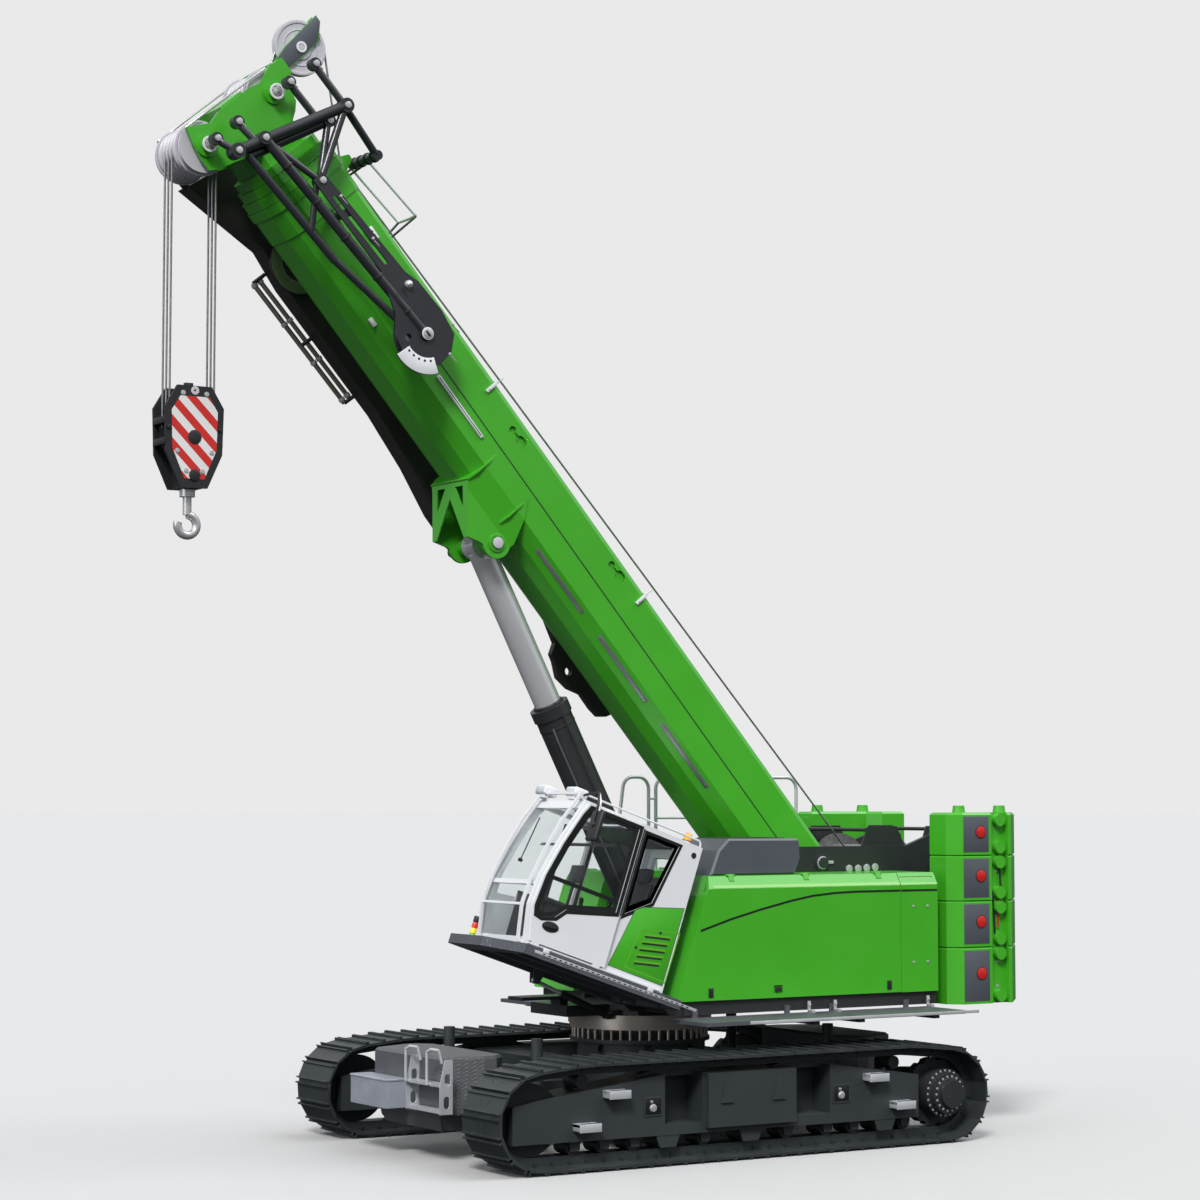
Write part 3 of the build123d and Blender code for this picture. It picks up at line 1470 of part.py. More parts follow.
def boom_outline(inset):
    """Cross-section of the boom (Y, v), every face moved inwards by inset."""
    count = len(boom_corners)
    points = []
    for i in range(count):
        before, here, after = boom_corners[i - 1], boom_corners[i], boom_corners[(i + 1) % count]
        normals = []
        for start, end in ((before, here), (here, after)):
            length = hypot(end[0] - start[0], end[1] - start[1])
            normals.append((-(end[1] - start[1]) / length, (end[0] - start[0]) / length))
        (nx, ny), (mx, my) = normals
        share = inset / (1 + nx * mx + ny * my)
        points.append((here[0] + (nx + mx) * share, boom_top_v + here[1] + (ny + my) * share))
    half_width, top = points[0]
    across, down = top_chamfer
    return [
        (half_width - across, top),
        (across - half_width, top),
        (-half_width, top - down),
        *points[2:],
        (half_width, top - down),
    ]


def boom_tube(start_u, end_u, outer, inner):
    """Length of boom tube with its outside and inside moved in by outer and inner."""
    with BuildSketch(boom_station(start_u)) as section:
        outline(boom_outline(outer))
        outline(boom_outline(inner), mode=Mode.SUBTRACT)
    extrude(section.sketch, amount=end_u - start_u)


cheek_inner_y = 345.0
cheek_outer_y = 392.0
cheek_lug_radius = 168.0
flange_plate = 16.0
flange_us = (6445.0, 7045.0)      # rear and front flange of the luffing bracket
flange_drop = -945.0
gusset_top = (7045.0, -930.0)
gusset_foot = (6567.0, -1339.0)
gusset_length = hypot(gusset_top[0] - gusset_foot[0], gusset_top[1] - gusset_foot[1])
with BuildPart() as luff_cheeks:
    # cheeks that come off the boom's side and run down to the luffing pin
    for hand in (1, -1):
        with BuildSketch(boom_station(6100)):
            outline(
                [
                    (hand * y, boom_top_v + dv)
                    for y, dv in (
                        (boom_half_width - 1, -490),
                        (boom_half_width + 14, -490),
                        (boom_half_width + 14, -705),
                        (cheek_outer_y, -1000),
                        (cheek_outer_y, -1350),
                        (cheek_inner_y, -1350),
                        (cheek_inner_y, -817),
                        (boom_half_width - 1, -697),
                    )
                ]
            )
        extrude(amount=1300)
    with BuildSketch(boom_side(0)):
        outline(
            [
                (u, boom_top_v + dv)
                for u, dv in (
                    (6160, -1180),
                    (6150, -950),
                    (6296, -691),
                    (flange_us[0], -499),
                    (flange_us[1] - 26, -501),
                    (flange_us[1], -700),
                    gusset_top,
                    gusset_foot,
                    (6430, -1255),
                )
            ]
        )
        with Locations((luff_pin_u, luff_pin_v)):
            Circle(cheek_lug_radius)
    extrude(amount=600, both=True, mode=Mode.INTERSECT)
    # flanges across the boom's lower half, standing off it towards the cheeks
    for flange_u in flange_us:
        with BuildSketch(boom_station(flange_u - flange_plate)):
            outline(
                [
                    (hand * y, boom_top_v + dv)
                    for hand, half in (
                        (1, ((449, -499), (482, -660), (468, -830), (420, flange_drop))),
                        (-1, ((420, flange_drop), (468, -830), (482, -660), (449, -499))),
                    )
                    for y, dv in half
                ]
            )
            outline(boom_outline(1), mode=Mode.SUBTRACT)
        extrude(amount=flange_plate)
    # cross plate from the front flange down to the lugs, cut away in the middle
    gusset_lean = Vector(gusset_foot[0] - gusset_top[0], gusset_foot[1] - gusset_top[1]).normalized()
    with BuildSketch(
        Plane(
            origin=boom_point(gusset_top[0], 0, boom_top_v + gusset_top[1]),
            x_dir=(0, 1, 0),
            z_dir=boom_point(gusset_lean.Y, 0, -gusset_lean.X),
        )
    ) as gusset:
        outline(
            (
                (-cheek_inner_y - 1, 0),
                (cheek_inner_y + 1, 0),
                (cheek_inner_y + 1, gusset_length),
                (cheek_inner_y - 40, gusset_length),
                (0, 190),
                (40 - cheek_inner_y, gusset_length),
                (-cheek_inner_y - 1, gusset_length),
            )
        )
        for hand in (1, -1):
            outline(((hand * 105, 70), (hand * 285, 70), (hand * 290, 330)), mode=Mode.SUBTRACT)
    extrude(gusset.sketch, amount=flange_plate)

with BuildPart() as boom_base:
    boom_tube(boom_rear_u, boom_front_u, 0, boom_wall)
    # end frame, band and front collar
    boom_tube(boom_rear_u, boom_rear_u + 60, -12, boom_wall)
    boom_tube(10200, boom_front_u, -12, boom_wall)
    boom_tube(boom_front_u - collar_length, boom_front_u, -30, section_step - running)
    # boss and bore of the foot pins
    for hand in (1, -1):
        with BuildSketch(boom_side(hand * boom_half_width)):
            with Locations((foot_u, foot_v)):
                Circle(foot_boss_radius)
        extrude(amount=-hand * (foot_boss_y - boom_half_width))
        with BuildSketch(boom_side(hand * (boom_half_width - 30))):
            with Locations((foot_u, foot_v)):
                Circle(foot_pin_radius + running)
        extrude(amount=-hand * 160, mode=Mode.SUBTRACT)
    # locking slots in the side plates
    for slot_u, slot_dv in ((7116, -173), (5219, -135)):
        with BuildSketch(boom_side(0)):
            with Locations((slot_u, boom_top_v + slot_dv)):
                Circle(44)
            with Locations((slot_u - 83, boom_top_v + slot_dv)):
                Rectangle(166, 30)
            with Locations((slot_u - 166, boom_top_v + slot_dv)):
                SlotOverall(150, 112)
        extrude(amount=boom_half_width + 5, both=True, mode=Mode.SUBTRACT)
    add(luff_cheeks.part)
    # luffing pin and its spacer bushes
    with BuildSketch(boom_side(0)):
        with Locations((luff_pin_u, luff_pin_v)):
            Circle(luff_pin_radius)
    extrude(amount=cheek_outer_y + 25, both=True)
    for start_y in (cheek_inner_y + 1, -luff_eye_width / 2 - running):
        with BuildSketch(boom_side(start_y)):
            with Locations((luff_pin_u, luff_pin_v)):
                Circle(luff_pin_radius + 28)
        extrude(amount=cheek_inner_y + 1 - luff_eye_width / 2 - running)
    # rope guide over the front end
    for ear_y in (220, -196):
        with BuildSketch(boom_side(ear_y)):
            outline(
                [
                    (u, boom_top_v + dv)
                    for u, dv in ((10250, -5), (10590, -5), (10560, 110), (10500, 257), (10440, 257), (10380, 120))
                ]
            )
        extrude(amount=24)
    bar(boom_point(10475, -210, boom_top_v + 210), boom_point(10475, 210, boom_top_v + 210), 34)
boom_base.part.label = "boom_base"
export_step(boom_base.part, "parts/boom_base.step")

for index in range(1, section_count):
    inset = section_step * index
    front_u = boom_front_u + collar_pitch * index
    with BuildPart() as boom_section:
        start_u = section_start_u + 40 * index
        boom_tube(start_u, front_u, inset, inset + boom_wall)
        boom_tube(start_u, start_u + 30, inset - boom_gap + running, inset + boom_wall)
        boom_tube(front_u - collar_length, front_u, inset - 46, inset + section_step - running)
    boom_section.part.label = f"boom_section_{index + 1}"
    export_step(boom_section.part, f"parts/boom_section_{index + 1}.step")

inset = section_step * section_count
tip_u = 11225.0
pin_v = boom_top_v - head_front_drop
rear_pin_v = boom_top_v - head_rear_drop
head_half_width = boom_half_width - inset
head_start_u = section_start_u + 40 * section_count
with BuildPart() as boom_section_5:
    boom_tube(head_start_u, tip_u, inset, inset + boom_wall)
    boom_tube(head_start_u, head_start_u + 30, inset - boom_gap + running, inset + boom_wall)
    # head plates
    for hand in (1, -1):
        with BuildSketch(boom_side(hand * (head_half_width - 1))):
            outline(
                [
                    (u, boom_top_v + dv)
                    for u, dv in (
                        (11774, -1202),
                        (11600, -1250),
                        (11420, -1280),
                        (11290, -1280),
                        (11235, -1180),
                        (11190, -960),
                        (11110, -720),
                        (11110, -230),
                        (11220, -60),
                        (11300, 20),
                        (11520, 60),
                        (11560, 175),
                        (11740, 175),
                        (11753, 0),
                        (11670, -200),
                        (11700, -350),
                        (11700, -800),
                        (11660, -950),
                    )
                ]
            )
        extrude(amount=-hand * (head_plate + 1))
    # cross box of the head
    with BuildSketch(boom_side(0)):
        corners = ((11622, -740), (11722, -740), (11722, -430), (11630, -430))
        outline([(u, boom_top_v + dv) for u, dv in corners])
    extrude(amount=head_half_width, both=True)
    # sheave pins and their retaining plates
    for centre_v in (pin_v, rear_pin_v):
        with BuildSketch(boom_side(0)):
            with Locations((head_pin_u, centre_v)):
                Circle(62)
        extrude(amount=480, both=True)
        for start_y in (head_half_width + head_plate + 22, -head_half_width - head_plate + 1):
            with BuildSketch(boom_side(start_y)):
                with Locations((head_pin_u, centre_v)):
                    Circle(115)
            extrude(amount=23)
    # bracket of the single sheave on top
    for bracket_y in (160, 60):
        with BuildSketch(boom_side(bracket_y)):
            outline(
                [
                    (u, boom_top_v + dv)
                    for u, dv in (
                        (11575, 150),
                        (11725, 150),
                        (11790, 420),
                        (11850, 930),
                        (11770, 930),
                        (11620, 780),
                        (11590, 420),
                    )
                ]
            )
            with Locations((11680, boom_top_v + 561)):
                Circle(30 + seat, mode=Mode.SUBTRACT)
        extrude(amount=18)
    with BuildSketch(boom_side(0)):
        corners = ((11560, 125), (11740, 125), (11740, 175), (11560, 175))
        outline([(u, boom_top_v + dv) for u, dv in corners])
    extrude(amount=head_half_width, both=True)
boom_section_5.part.label = "boom_section_5"
export_step(boom_section_5.part, "parts/boom_section_5.step")


def sheave_profile(count, pitch, groove_radius, bore):
    """Half section (Y, r) of a row of rope sheaves side by side."""
    rim = groove_radius + 30
    points = [(-count * pitch / 2, bore), (-count * pitch / 2, rim)]
    for i in range(count):
        middle = (i - (count - 1) / 2) * pitch
        points.append((middle - pitch * 0.36, rim))
        points.append((middle - 14, groove_radius))
        points.append((middle + 14, groove_radius))
        points.append((middle + pitch * 0.36, rim))
    points.append((count * pitch / 2, rim))
    points.append((count * pitch / 2, bore))
    return points


head_sheave_count = 7
top_sheave = boom_point(11680, 0, boom_top_v + 561)
with BuildPart() as head_sheaves:
    for centre in (boom_point(head_pin_u, 0, pin_v), boom_point(head_pin_u, 0, rear_pin_v)):
        with BuildSketch(Plane(origin=centre, x_dir=(0, 1, 0), z_dir=(1, 0, 0))):
            outline(sheave_profile(head_sheave_count, fall_spacing, head_sheave_radius, 62 + seat))
        revolve(axis=Axis(centre, (0, 1, 0)))
    with BuildSketch(Plane(origin=top_sheave + Vector(0, 101, 0), x_dir=(0, 1, 0), z_dir=(1, 0, 0))):
        outline(sheave_profile(1, 60, 270, 30))
    revolve(axis=Axis(top_sheave, (0, 1, 0)))
    with BuildSketch(side(top_sheave.Y + 175)):
        with Locations((top_sheave.X, top_sheave.Z)):
            Circle(30)
    extrude(amount=150)
head_sheaves.part.label = "head_sheaves"
export_step(head_sheaves.part, "parts/head_sheaves.step")

# ---------------------------------------------------------------- luffing cylinder
luff_rod_length = 3200.0
barrel_start = 130.0
with BuildPart() as luff_barrel:
    with BuildSketch(luff_station(barrel_start)):
        Circle(luff_barrel_radius)
    extrude(amount=luff_barrel_length)
    with BuildSketch(luff_station(barrel_start + luff_barrel_length - 130)):
        Circle(luff_barrel_radius + 17)
    extrude(amount=130)
    with BuildSketch(luff_station(barrel_start + 35)):
        Circle(luff_rod_radius + running)
    extrude(amount=luff_barrel_length, mode=Mode.SUBTRACT)
    with BuildSketch(side(luff_barrel_radius)):
        with Locations((luff_foot_x, luff_foot_z)):
            Circle(luff_eye_radius)
    extrude(amount=2 * luff_barrel_radius)
    with BuildSketch(luff_station(10)):
        Rectangle(2 * luff_barrel_radius, 260)
    extrude(amount=barrel_start)
    # oil pipe along the barrel
    bar(
        luff_foot + luff_axis * 300 + Vector(0, luff_barrel_radius + 6, 0),
        luff_foot + luff_axis * (barrel_start + luff_barrel_length - 60) + Vector(0, luff_barrel_radius + 6, 0),
        18,
    )
luff_barrel.part.label = "luff_barrel"
export_step(luff_barrel.part, "parts/luff_barrel.step")

with BuildPart() as luff_rod:
    with BuildSketch(luff_station(luff_length - luff_rod_length)):
        Circle(luff_rod_radius)
    extrude(amount=luff_rod_length - 60)
    with BuildSketch(side(luff_eye_width / 2)):
        with Locations((luff_pin.X, luff_pin.Z)):
            Circle(luff_eye_radius)
    extrude(amount=luff_eye_width)
    with BuildSketch(side(luff_eye_width / 2 + 40)):
        with Locations((luff_pin.X, luff_pin.Z)):
            Circle(luff_pin_radius + running)
    extrude(amount=luff_eye_width + 80, mode=Mode.SUBTRACT)
    # the rod's end stays inside the eye's width
    with BuildSketch(side(luff_eye_width / 2)):
        with Locations((luff_pin.X, luff_pin.Z)):
            Circle(luff_eye_radius + 6)
            Circle(luff_pin_radius + running, mode=Mode.SUBTRACT)
    extrude(amount=-60, mode=Mode.SUBTRACT)
    with BuildSketch(side(-luff_eye_width / 2)):
        with Locations((luff_pin.X, luff_pin.Z)):
            Circle(luff_eye_radius + 6)
    extrude(amount=60, mode=Mode.SUBTRACT)
luff_rod.part.label = "luff_rod"
export_step(luff_rod.part, "parts/luff_rod.step")

# ---------------------------------------------------------------- hoist rope, hook block and hook
head_pin = boom_point(head_pin_u, 0, pin_v)
hook_x = head_pin.X
fall_x = block_sheave_radius + rope_radius + seat
block_sheave_count = 3
with BuildPart() as hoist_ropes:
    for facing in (1, -1):
        for i in range(block_sheave_count):
            with BuildSketch(Plane.XY.offset(block_sheave_z)):
                with Locations((hook_x + facing * fall_x, (i - 1) * fall_spacing)):
                    Circle(rope_radius)
            extrude(amount=head_pin.Z - block_sheave_z)
hoist_ropes.part.label = "hoist_ropes"
export_step(hoist_ropes.part, "parts/hoist_ropes.step")

cheek_y = 140.0
hook_shank_radius = 45.0
with BuildPart() as hook_block:
    with BuildSketch(Plane(origin=(hook_x, 0, block_sheave_z), x_dir=(0, 1, 0), z_dir=(1, 0, 0))):
        outline(sheave_profile(block_sheave_count, fall_spacing, block_sheave_radius, 0.01))
    revolve(axis=Axis((hook_x, 0, block_sheave_z), (0, 1, 0)))
    for hand in (1, -1):
        with BuildSketch(side(hand * (cheek_y - 5))):
            outline(
                [
                    (hook_x + x, z)
                    for x, z in (
                        (-150, 6930),
                        (150, 6930),
                        (310, 7280),
                        (325, 7760),
                        (190, 7980),
                        (-190, 7980),
                        (-325, 7760),
                        (-310, 7280),
                    )
                ]
            )
        extrude(amount=-hand * 35)
    with BuildSketch(Plane.XY.offset(6930)):
        with Locations((hook_x, 0)):
            Rectangle(230, 2 * cheek_y + 40)
    extrude(amount=250)
    with BuildSketch(Plane.XY.offset(6925)):
        with Locations((hook_x, 0)):
            Circle(hook_shank_radius + running)
    extrude(amount=180, mode=Mode.SUBTRACT)
    # tie bars across the top of the cheeks
    for tie_x in (-130, 130):
        with BuildSketch(side(cheek_y)):
            with Locations((hook_x + tie_x, 7900)):
                Circle(28)
        extrude(amount=2 * cheek_y)
hook_block.part.label = "hook_block"
export_step(hook_block.part, "parts/hook_block.step")

bowl_radius = 105.0
bowl_z = 6560.0
with BuildPart() as hook:
    with BuildSketch(Plane.XY.offset(bowl_z + bowl_radius)):
        with Locations((hook_x, 0)):
            Circle(hook_shank_radius)
    extrude(amount=7090 - bowl_z - bowl_radius)
    with BuildSketch(Plane.XY.offset(6850)):
        with Locations((hook_x, 0)):
            Circle(80)
    extrude(amount=75)
    with BuildSketch(Plane(origin=(hook_x, 0, bowl_z + bowl_radius), x_dir=(0, 1, 0), z_dir=(1, 0, 0))):
        Circle(hook_shank_radius)
    revolve(axis=Axis((hook_x, 0, bowl_z), (0, -1, 0)), revolution_arc=285)
hook.part.label = "hook"
export_step(hook.part, "parts/hook.step")

# ---------------------------------------------------------------- fly jib stowed on the boom's base section
def eye(u, y, dv, radius, width):
    """Round eye across the boom at a point of its own frame."""
    with BuildSketch(boom_side(y + width / 2)) as section:
        with Locations((u, boom_top_v + dv)):
            Circle(radius)
    extrude(section.sketch, amount=width)


def member(start, end, radius):
    """Tube between two points given as u, y and height over the boom's top."""
    start, end = (boom_point(u, y, boom_top_v + rise) for u, y, rise in (start, end))
    bar(start, end, radius)


jib_sheave_u = 8617.0
jib_sheave_drop = -556.0
jib_plate_y = 800.0
jib_hub = (jib_sheave_u, boom_top_v + jib_sheave_drop)
with BuildPart() as jib_left:
    # start (u, y, drop), end, radius
    for start, end, radius in (
        ((10976, 700, 288), (11306, 700, -1066), 60),
        ((10960, 620, 46), (11180, 640, -960), 50),
        ((11500, 600, 320), (10976, 690, 288), 40),
        ((11515, 600, -50), (11050, 650, -50), 40),
        ((11520, 600, -810), (11240, 700, -810), 40),
        ((11520, 600, -1120), (11310, 700, -1060), 40),
        ((8617, 800, -556), (11240, 720, -720), 54),
        ((10976, 690, 288), (10544, 760, -504), 42),
        ((10960, 640, 46), (10544, 740, -504), 38),
        ((10976, 680, 288), (10353, 560, 330), 40),
        ((10353, 600, 330), (10353, -60, 366), 54),
        ((11200, 660, -960), (9800, 680, -860), 44),
        ((9820, 680, -862), (8900, 760, -700), 40),
        ((10544, 760, -504), (11180, 700, -700), 36),
        ((10200, 690, -880), (10544, 760, -560), 34),
    ):
        member(start, end, radius)
    for u, y, drop, radius, width in (
        (11500, 600, 320, 66, 90),
        (11515, 600, -50, 66, 90),
        (11520, 600, -810, 66, 90),
        (11520, 600, -1120, 66, 90),
        (11306, 700, -1066, 78, 150),
        (11240, 700, -731, 70, 150),
        (10976, 690, 288, 78, 130),
        (10960, 630, 46, 70, 120),
        (10544, 760, -504, 70, 120),
    ):
        eye(u, y, drop, radius, width)
    # tapering head plate, its lightening windows and the wheel behind it
    with BuildSketch(boom_side(jib_plate_y + 22)):
        outline(
            [
                (u, boom_top_v + drop)
                for u, drop in (
                    (10620, -455),
                    (10600, -590),
                    (9430, -560),
                    (8980, -720),
                    (8800, -860),
                    (8600, -905),
                    (8380, -820),
                    (8270, -640),
                    (8290, -440),
                    (8420, -280),
                    (8700, -240),
                    (9100, -270),
                    (9260, -330),
                    (10480, -430),
                )
            ]
        )
        with Locations((9141, boom_top_v - 391)):
            Circle(46, mode=Mode.SUBTRACT)
        for window_angle in (76, 155, 234):
            window = CenterArc(jib_hub, 196, window_angle - 21, 42)
            SlotArc(window, 116, mode=Mode.SUBTRACT)
        with Locations((jib_sheave_u + 99, boom_top_v + jib_sheave_drop - 193)):
            Circle(40, mode=Mode.SUBTRACT)
        with Locations((9900, boom_top_v - 480)):
            SlotOverall(900, 46, rotation=-3, mode=Mode.SUBTRACT)
    extrude(amount=24)
    # toothless sector with its row of holes, bolted on the plate
    with BuildSketch(boom_side(jib_plate_y + 36)):
        with Locations(jib_hub):
            Circle(432)
            Circle(250, mode=Mode.SUBTRACT)
            with PolarLocations(288, 5, start_angle=212, angular_range=56, endpoint=True):
                Circle(13, mode=Mode.SUBTRACT)
        outline(
            (
                jib_hub,
                (jib_hub[0] + 700 * cos(radians(202)), jib_hub[1] + 700 * sin(radians(202))),
                (jib_hub[0] + 700 * cos(radians(240)), jib_hub[1] + 700 * sin(radians(240))),
                (jib_hub[0] + 700 * cos(radians(276)), jib_hub[1] + 700 * sin(radians(276))),
            ),
            mode=Mode.INTERSECT,
        )
    extrude(amount=15)
    wheel_centre = boom_point(jib_sheave_u, 730, boom_top_v + jib_sheave_drop)
    with BuildSketch(Plane(origin=wheel_centre, x_dir=(0, 1, 0), z_dir=(1, 0, 0))):
        outline(sheave_profile(1, 70, 300, 0.01))
    revolve(axis=Axis(wheel_centre, (0, 1, 0)))
    eye(jib_sheave_u, 770, jib_sheave_drop, 70, 170)
    # arms that hang the jib on the boom's side
    for u, drop in ((8617, -556), (10120, -470)):
        member((u, boom_half_width + seat, drop), (u, jib_plate_y, drop), 46)
jib_left.part.label = "jib_left"
export_step(jib_left.part, "parts/jib_left.step")

with BuildPart() as jib_right:
    # box girder tapering to its tip
    with BuildSketch(boom_side(-620)):
        outline(
            [
                (u, boom_top_v + drop)
                for u, drop in (
                    (11100, -420),
                    (11190, -1100),
                    (10180, -809),
                    (9700, -860),
                    (8000, -840),
                    (7300, -900),
                    (6722, -1000),
                    (6146, -1012),
                    (6100, -940),
                    (6700, -780),
                    (7900, -380),
                )
            ]
        )
    extrude(amount=260)
    for start, end, radius in (
        ((11070, -700, -560), (11500, -600, -50), 44),
        ((11180, -700, -1080), (11521, -600, -1144), 44),
        ((9919, -905, -925), (8267, -905, -880), 26),
        ((9919, -905, -1010), (8267, -905, -965), 26),
        ((9919, -905, -1010), (9919, -860, -850), 22),
        ((9060, -905, -990), (9060, -860, -840), 22),
        ((8267, -905, -965), (8267, -860, -830), 22),
    ):
        member(start, end, radius)
    for u, y, drop, radius, width in (
        (11500, -600, -50, 66, 90),
        (11521, -600, -1144, 70, 90),
        (6180, -750, -975, 60, 300),
    ):
        eye(u, y, drop, radius, width)
    # tail with its swing bracket, beside the boom's lower half
    with BuildSketch(boom_side(-620)):
        outline(
            [
                (u, boom_top_v + drop)
                for u, drop in (
                    (8100, -330),
                    (8100, -520),
                    (6300, -560),
                    (5164, -580),
                    (4656, -726),
                    (4591, -847),
                    (4502, -872),
                    (4334, -956),
                    (4146, -926),
                    (3993, -839),
                    (3783, -844),
                    (3650, -826),
                    (3585, -749),
                    (3525, -579),
                    (3440, -525),
                    (3440, -300),
                )
            ]
        )
        with Locations((4300, boom_top_v - 800)):
            Circle(48, mode=Mode.SUBTRACT)
    extrude(amount=84)
    # quarter wheel showing below the girder
    with BuildSketch(boom_side(-590)):
        with Locations((9817, boom_top_v - 572)):
            Circle(340)
    extrude(amount=30)
    for u in (7800, 10120):
        member((u, -boom_half_width - seat, -560), (u, -640, -560), 46)
jib_right.part.label = "jib_right"
export_step(jib_right.part, "parts/jib_right.step")
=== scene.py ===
from math import atan2, cos, pi, radians, sin

import bmesh
import bpy
from mathutils import Matrix, Vector


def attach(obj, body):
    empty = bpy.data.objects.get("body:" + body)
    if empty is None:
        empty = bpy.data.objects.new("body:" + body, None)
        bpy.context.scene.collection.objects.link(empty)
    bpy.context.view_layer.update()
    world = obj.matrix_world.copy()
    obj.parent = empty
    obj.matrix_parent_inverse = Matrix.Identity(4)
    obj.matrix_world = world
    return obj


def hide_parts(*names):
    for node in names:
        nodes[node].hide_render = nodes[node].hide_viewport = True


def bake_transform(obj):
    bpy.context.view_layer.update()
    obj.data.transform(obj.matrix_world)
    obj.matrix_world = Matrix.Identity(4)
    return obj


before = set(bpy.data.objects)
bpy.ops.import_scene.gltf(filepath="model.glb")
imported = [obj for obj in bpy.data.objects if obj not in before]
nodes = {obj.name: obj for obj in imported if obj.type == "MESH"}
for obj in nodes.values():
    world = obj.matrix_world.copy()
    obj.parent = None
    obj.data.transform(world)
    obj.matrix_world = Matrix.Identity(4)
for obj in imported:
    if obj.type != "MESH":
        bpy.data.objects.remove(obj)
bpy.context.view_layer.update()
scene = bpy.context.scene

boom_angle = radians(49.2)
boom_top = 3.779                 # the boom's top plate above the line through the slewing axis
cab_angle = radians(19)
cab_pivot = Vector((0.5, 0, 1.6))


def boom(u, y, rise):
    """A point on the boom: along it, across it and above its top plate."""
    v = boom_top + rise
    return Vector((u * cos(boom_angle) - v * sin(boom_angle), y, u * sin(boom_angle) + v * cos(boom_angle)))


def cab(a, y, b):
    """A point on the cab: forward of its rear corner, across the machine and above the cab floor."""
    turned = Vector((a * cos(cab_angle) - b * sin(cab_angle), 0, a * sin(cab_angle) + b * cos(cab_angle)))
    return cab_pivot + turned + Vector((0, y, 0))


boom_turn = Matrix.Rotation(-boom_angle, 4, "Y")
cab_turn = Matrix.Rotation(-cab_angle, 4, "Y")
sides = (("left", 1), ("right", -1))


def on_boom(u, rise):
    """A direction along the boom and away from its top plate."""
    return boom_turn.to_3x3() @ Vector((u, 0, rise))


# ---------------------------------------------------------------- finishes
def group(name, inputs, outputs):
    """An empty shader group with named inputs and outputs, and its two end nodes."""
    tree = bpy.data.node_groups.new(name, "ShaderNodeTree")
    for label, kind, default in inputs:
        socket = tree.interface.new_socket(label, in_out="INPUT", socket_type="NodeSocket" + kind)
        socket.default_value = default
    for label, kind in outputs:
        tree.interface.new_socket(label, in_out="OUTPUT", socket_type="NodeSocket" + kind)
    return tree, tree.nodes.new("NodeGroupInput"), tree.nodes.new("NodeGroupOutput")


def add(tree, kind, links=(), values=(), **settings):
    """A shader node with its settings, its plain values and what is linked to it."""
    made = tree.nodes.new("ShaderNode" + kind)
    for label, value in settings.items():
        setattr(made, label, value)
    for socket, value in dict(values).items():
        made.inputs[socket].default_value = value
    for socket, source in dict(links).items():
        tree.links.new(source, made.inputs[socket])
    return made


def math(tree, operation, first, second=None, clamp=False):
    """A sum on two values, each a number or another node's output."""
    made = add(tree, "Math", operation=operation, use_clamp=clamp)
    for place, value in enumerate((first, second)):
        if isinstance(value, (int, float)):
            made.inputs[place].default_value = value
        elif value is not None:
            tree.links.new(value, made.inputs[place])
    return made.outputs[0]


def product(tree, first, second, clamp=False):
    """Two values multiplied."""
    return math(tree, "MULTIPLY", first, second, clamp)


def total(tree, first, second, clamp=False):
    """Two values added."""
    return math(tree, "ADD", first, second, clamp)


def ramp(tree, value, low, high, first=0.0, last=1.0):
    """A value carried from one range to another, held at both ends."""
    limits = {"From Min": low, "From Max": high, "To Min": first, "To Max": last}
    made = add(tree, "MapRange", links={"Value": value}, values=limits)
    return made.outputs["Result"]


def mixed(tree, share, first, second):
    """A colour between two, each a plain colour or another node's output."""
    made = add(tree, "Mix", data_type="RGBA", clamp_factor=True)
    for place, value in ((0, share), (6, first), (7, second)):
        if isinstance(value, (tuple, int, float)):
            made.inputs[place].default_value = value
        else:
            tree.links.new(value, made.inputs[place])
    return made.outputs[2]


def make_edge_wear():
    """Where edges have rubbed: the rounded normal leaves the true one, broken up by noise."""
    tree, ins, outs = group("edge wear", [("Width", "Float", 0.006), ("Amount", "Float", 0.5)], [("Mask", "Float")])
    place = add(tree, "TexCoord").outputs["Object"]
    flat = add(tree, "NewGeometry").outputs["Normal"]
    round_ = add(tree, "Bevel", links={"Radius": ins.outputs["Width"]}, samples=3).outputs[0]
    same = add(tree, "VectorMath", links={0: flat, 1: round_}, operation="DOT_PRODUCT").outputs["Value"]
    edge = ramp(tree, math(tree, "SUBTRACT", 1.0, same), 0.03, 0.2)
    patch = add(tree, "TexNoise", links={"Vector": place}, values={"Scale": 9.0, "Detail": 5.0, "Roughness": 0.7})
    broken = ramp(tree, patch.outputs["Fac"], 0.42, 0.62)
    mask = product(tree, product(tree, edge, broken), ins.outputs["Amount"], clamp=True)
    tree.links.new(mask, outs.inputs["Mask"])
    return tree


def make_settled_dust():
    """Fine dust on faces that look up, thicker in patches."""
    tree, ins, outs = group("settled dust", [("Amount", "Float", 0.2)], [("Mask", "Float")])
    place = add(tree, "TexCoord").outputs["Object"]
    facing = add(tree, "SeparateXYZ", links={0: add(tree, "NewGeometry").outputs["Normal"]}).outputs["Z"]
    cloud = add(tree, "TexNoise", links={"Vector": place}, values={"Scale": 2.6, "Detail": 7.0, "Roughness": 0.62})
    lying = ramp(tree, facing, 0.1, 0.95, 0.15, 1.0)
    mask = product(tree, ramp(tree, cloud.outputs["Fac"], 0.35, 0.75), lying)
    tree.links.new(product(tree, mask, ins.outputs["Amount"], clamp=True), outs.inputs["Mask"])
    return tree


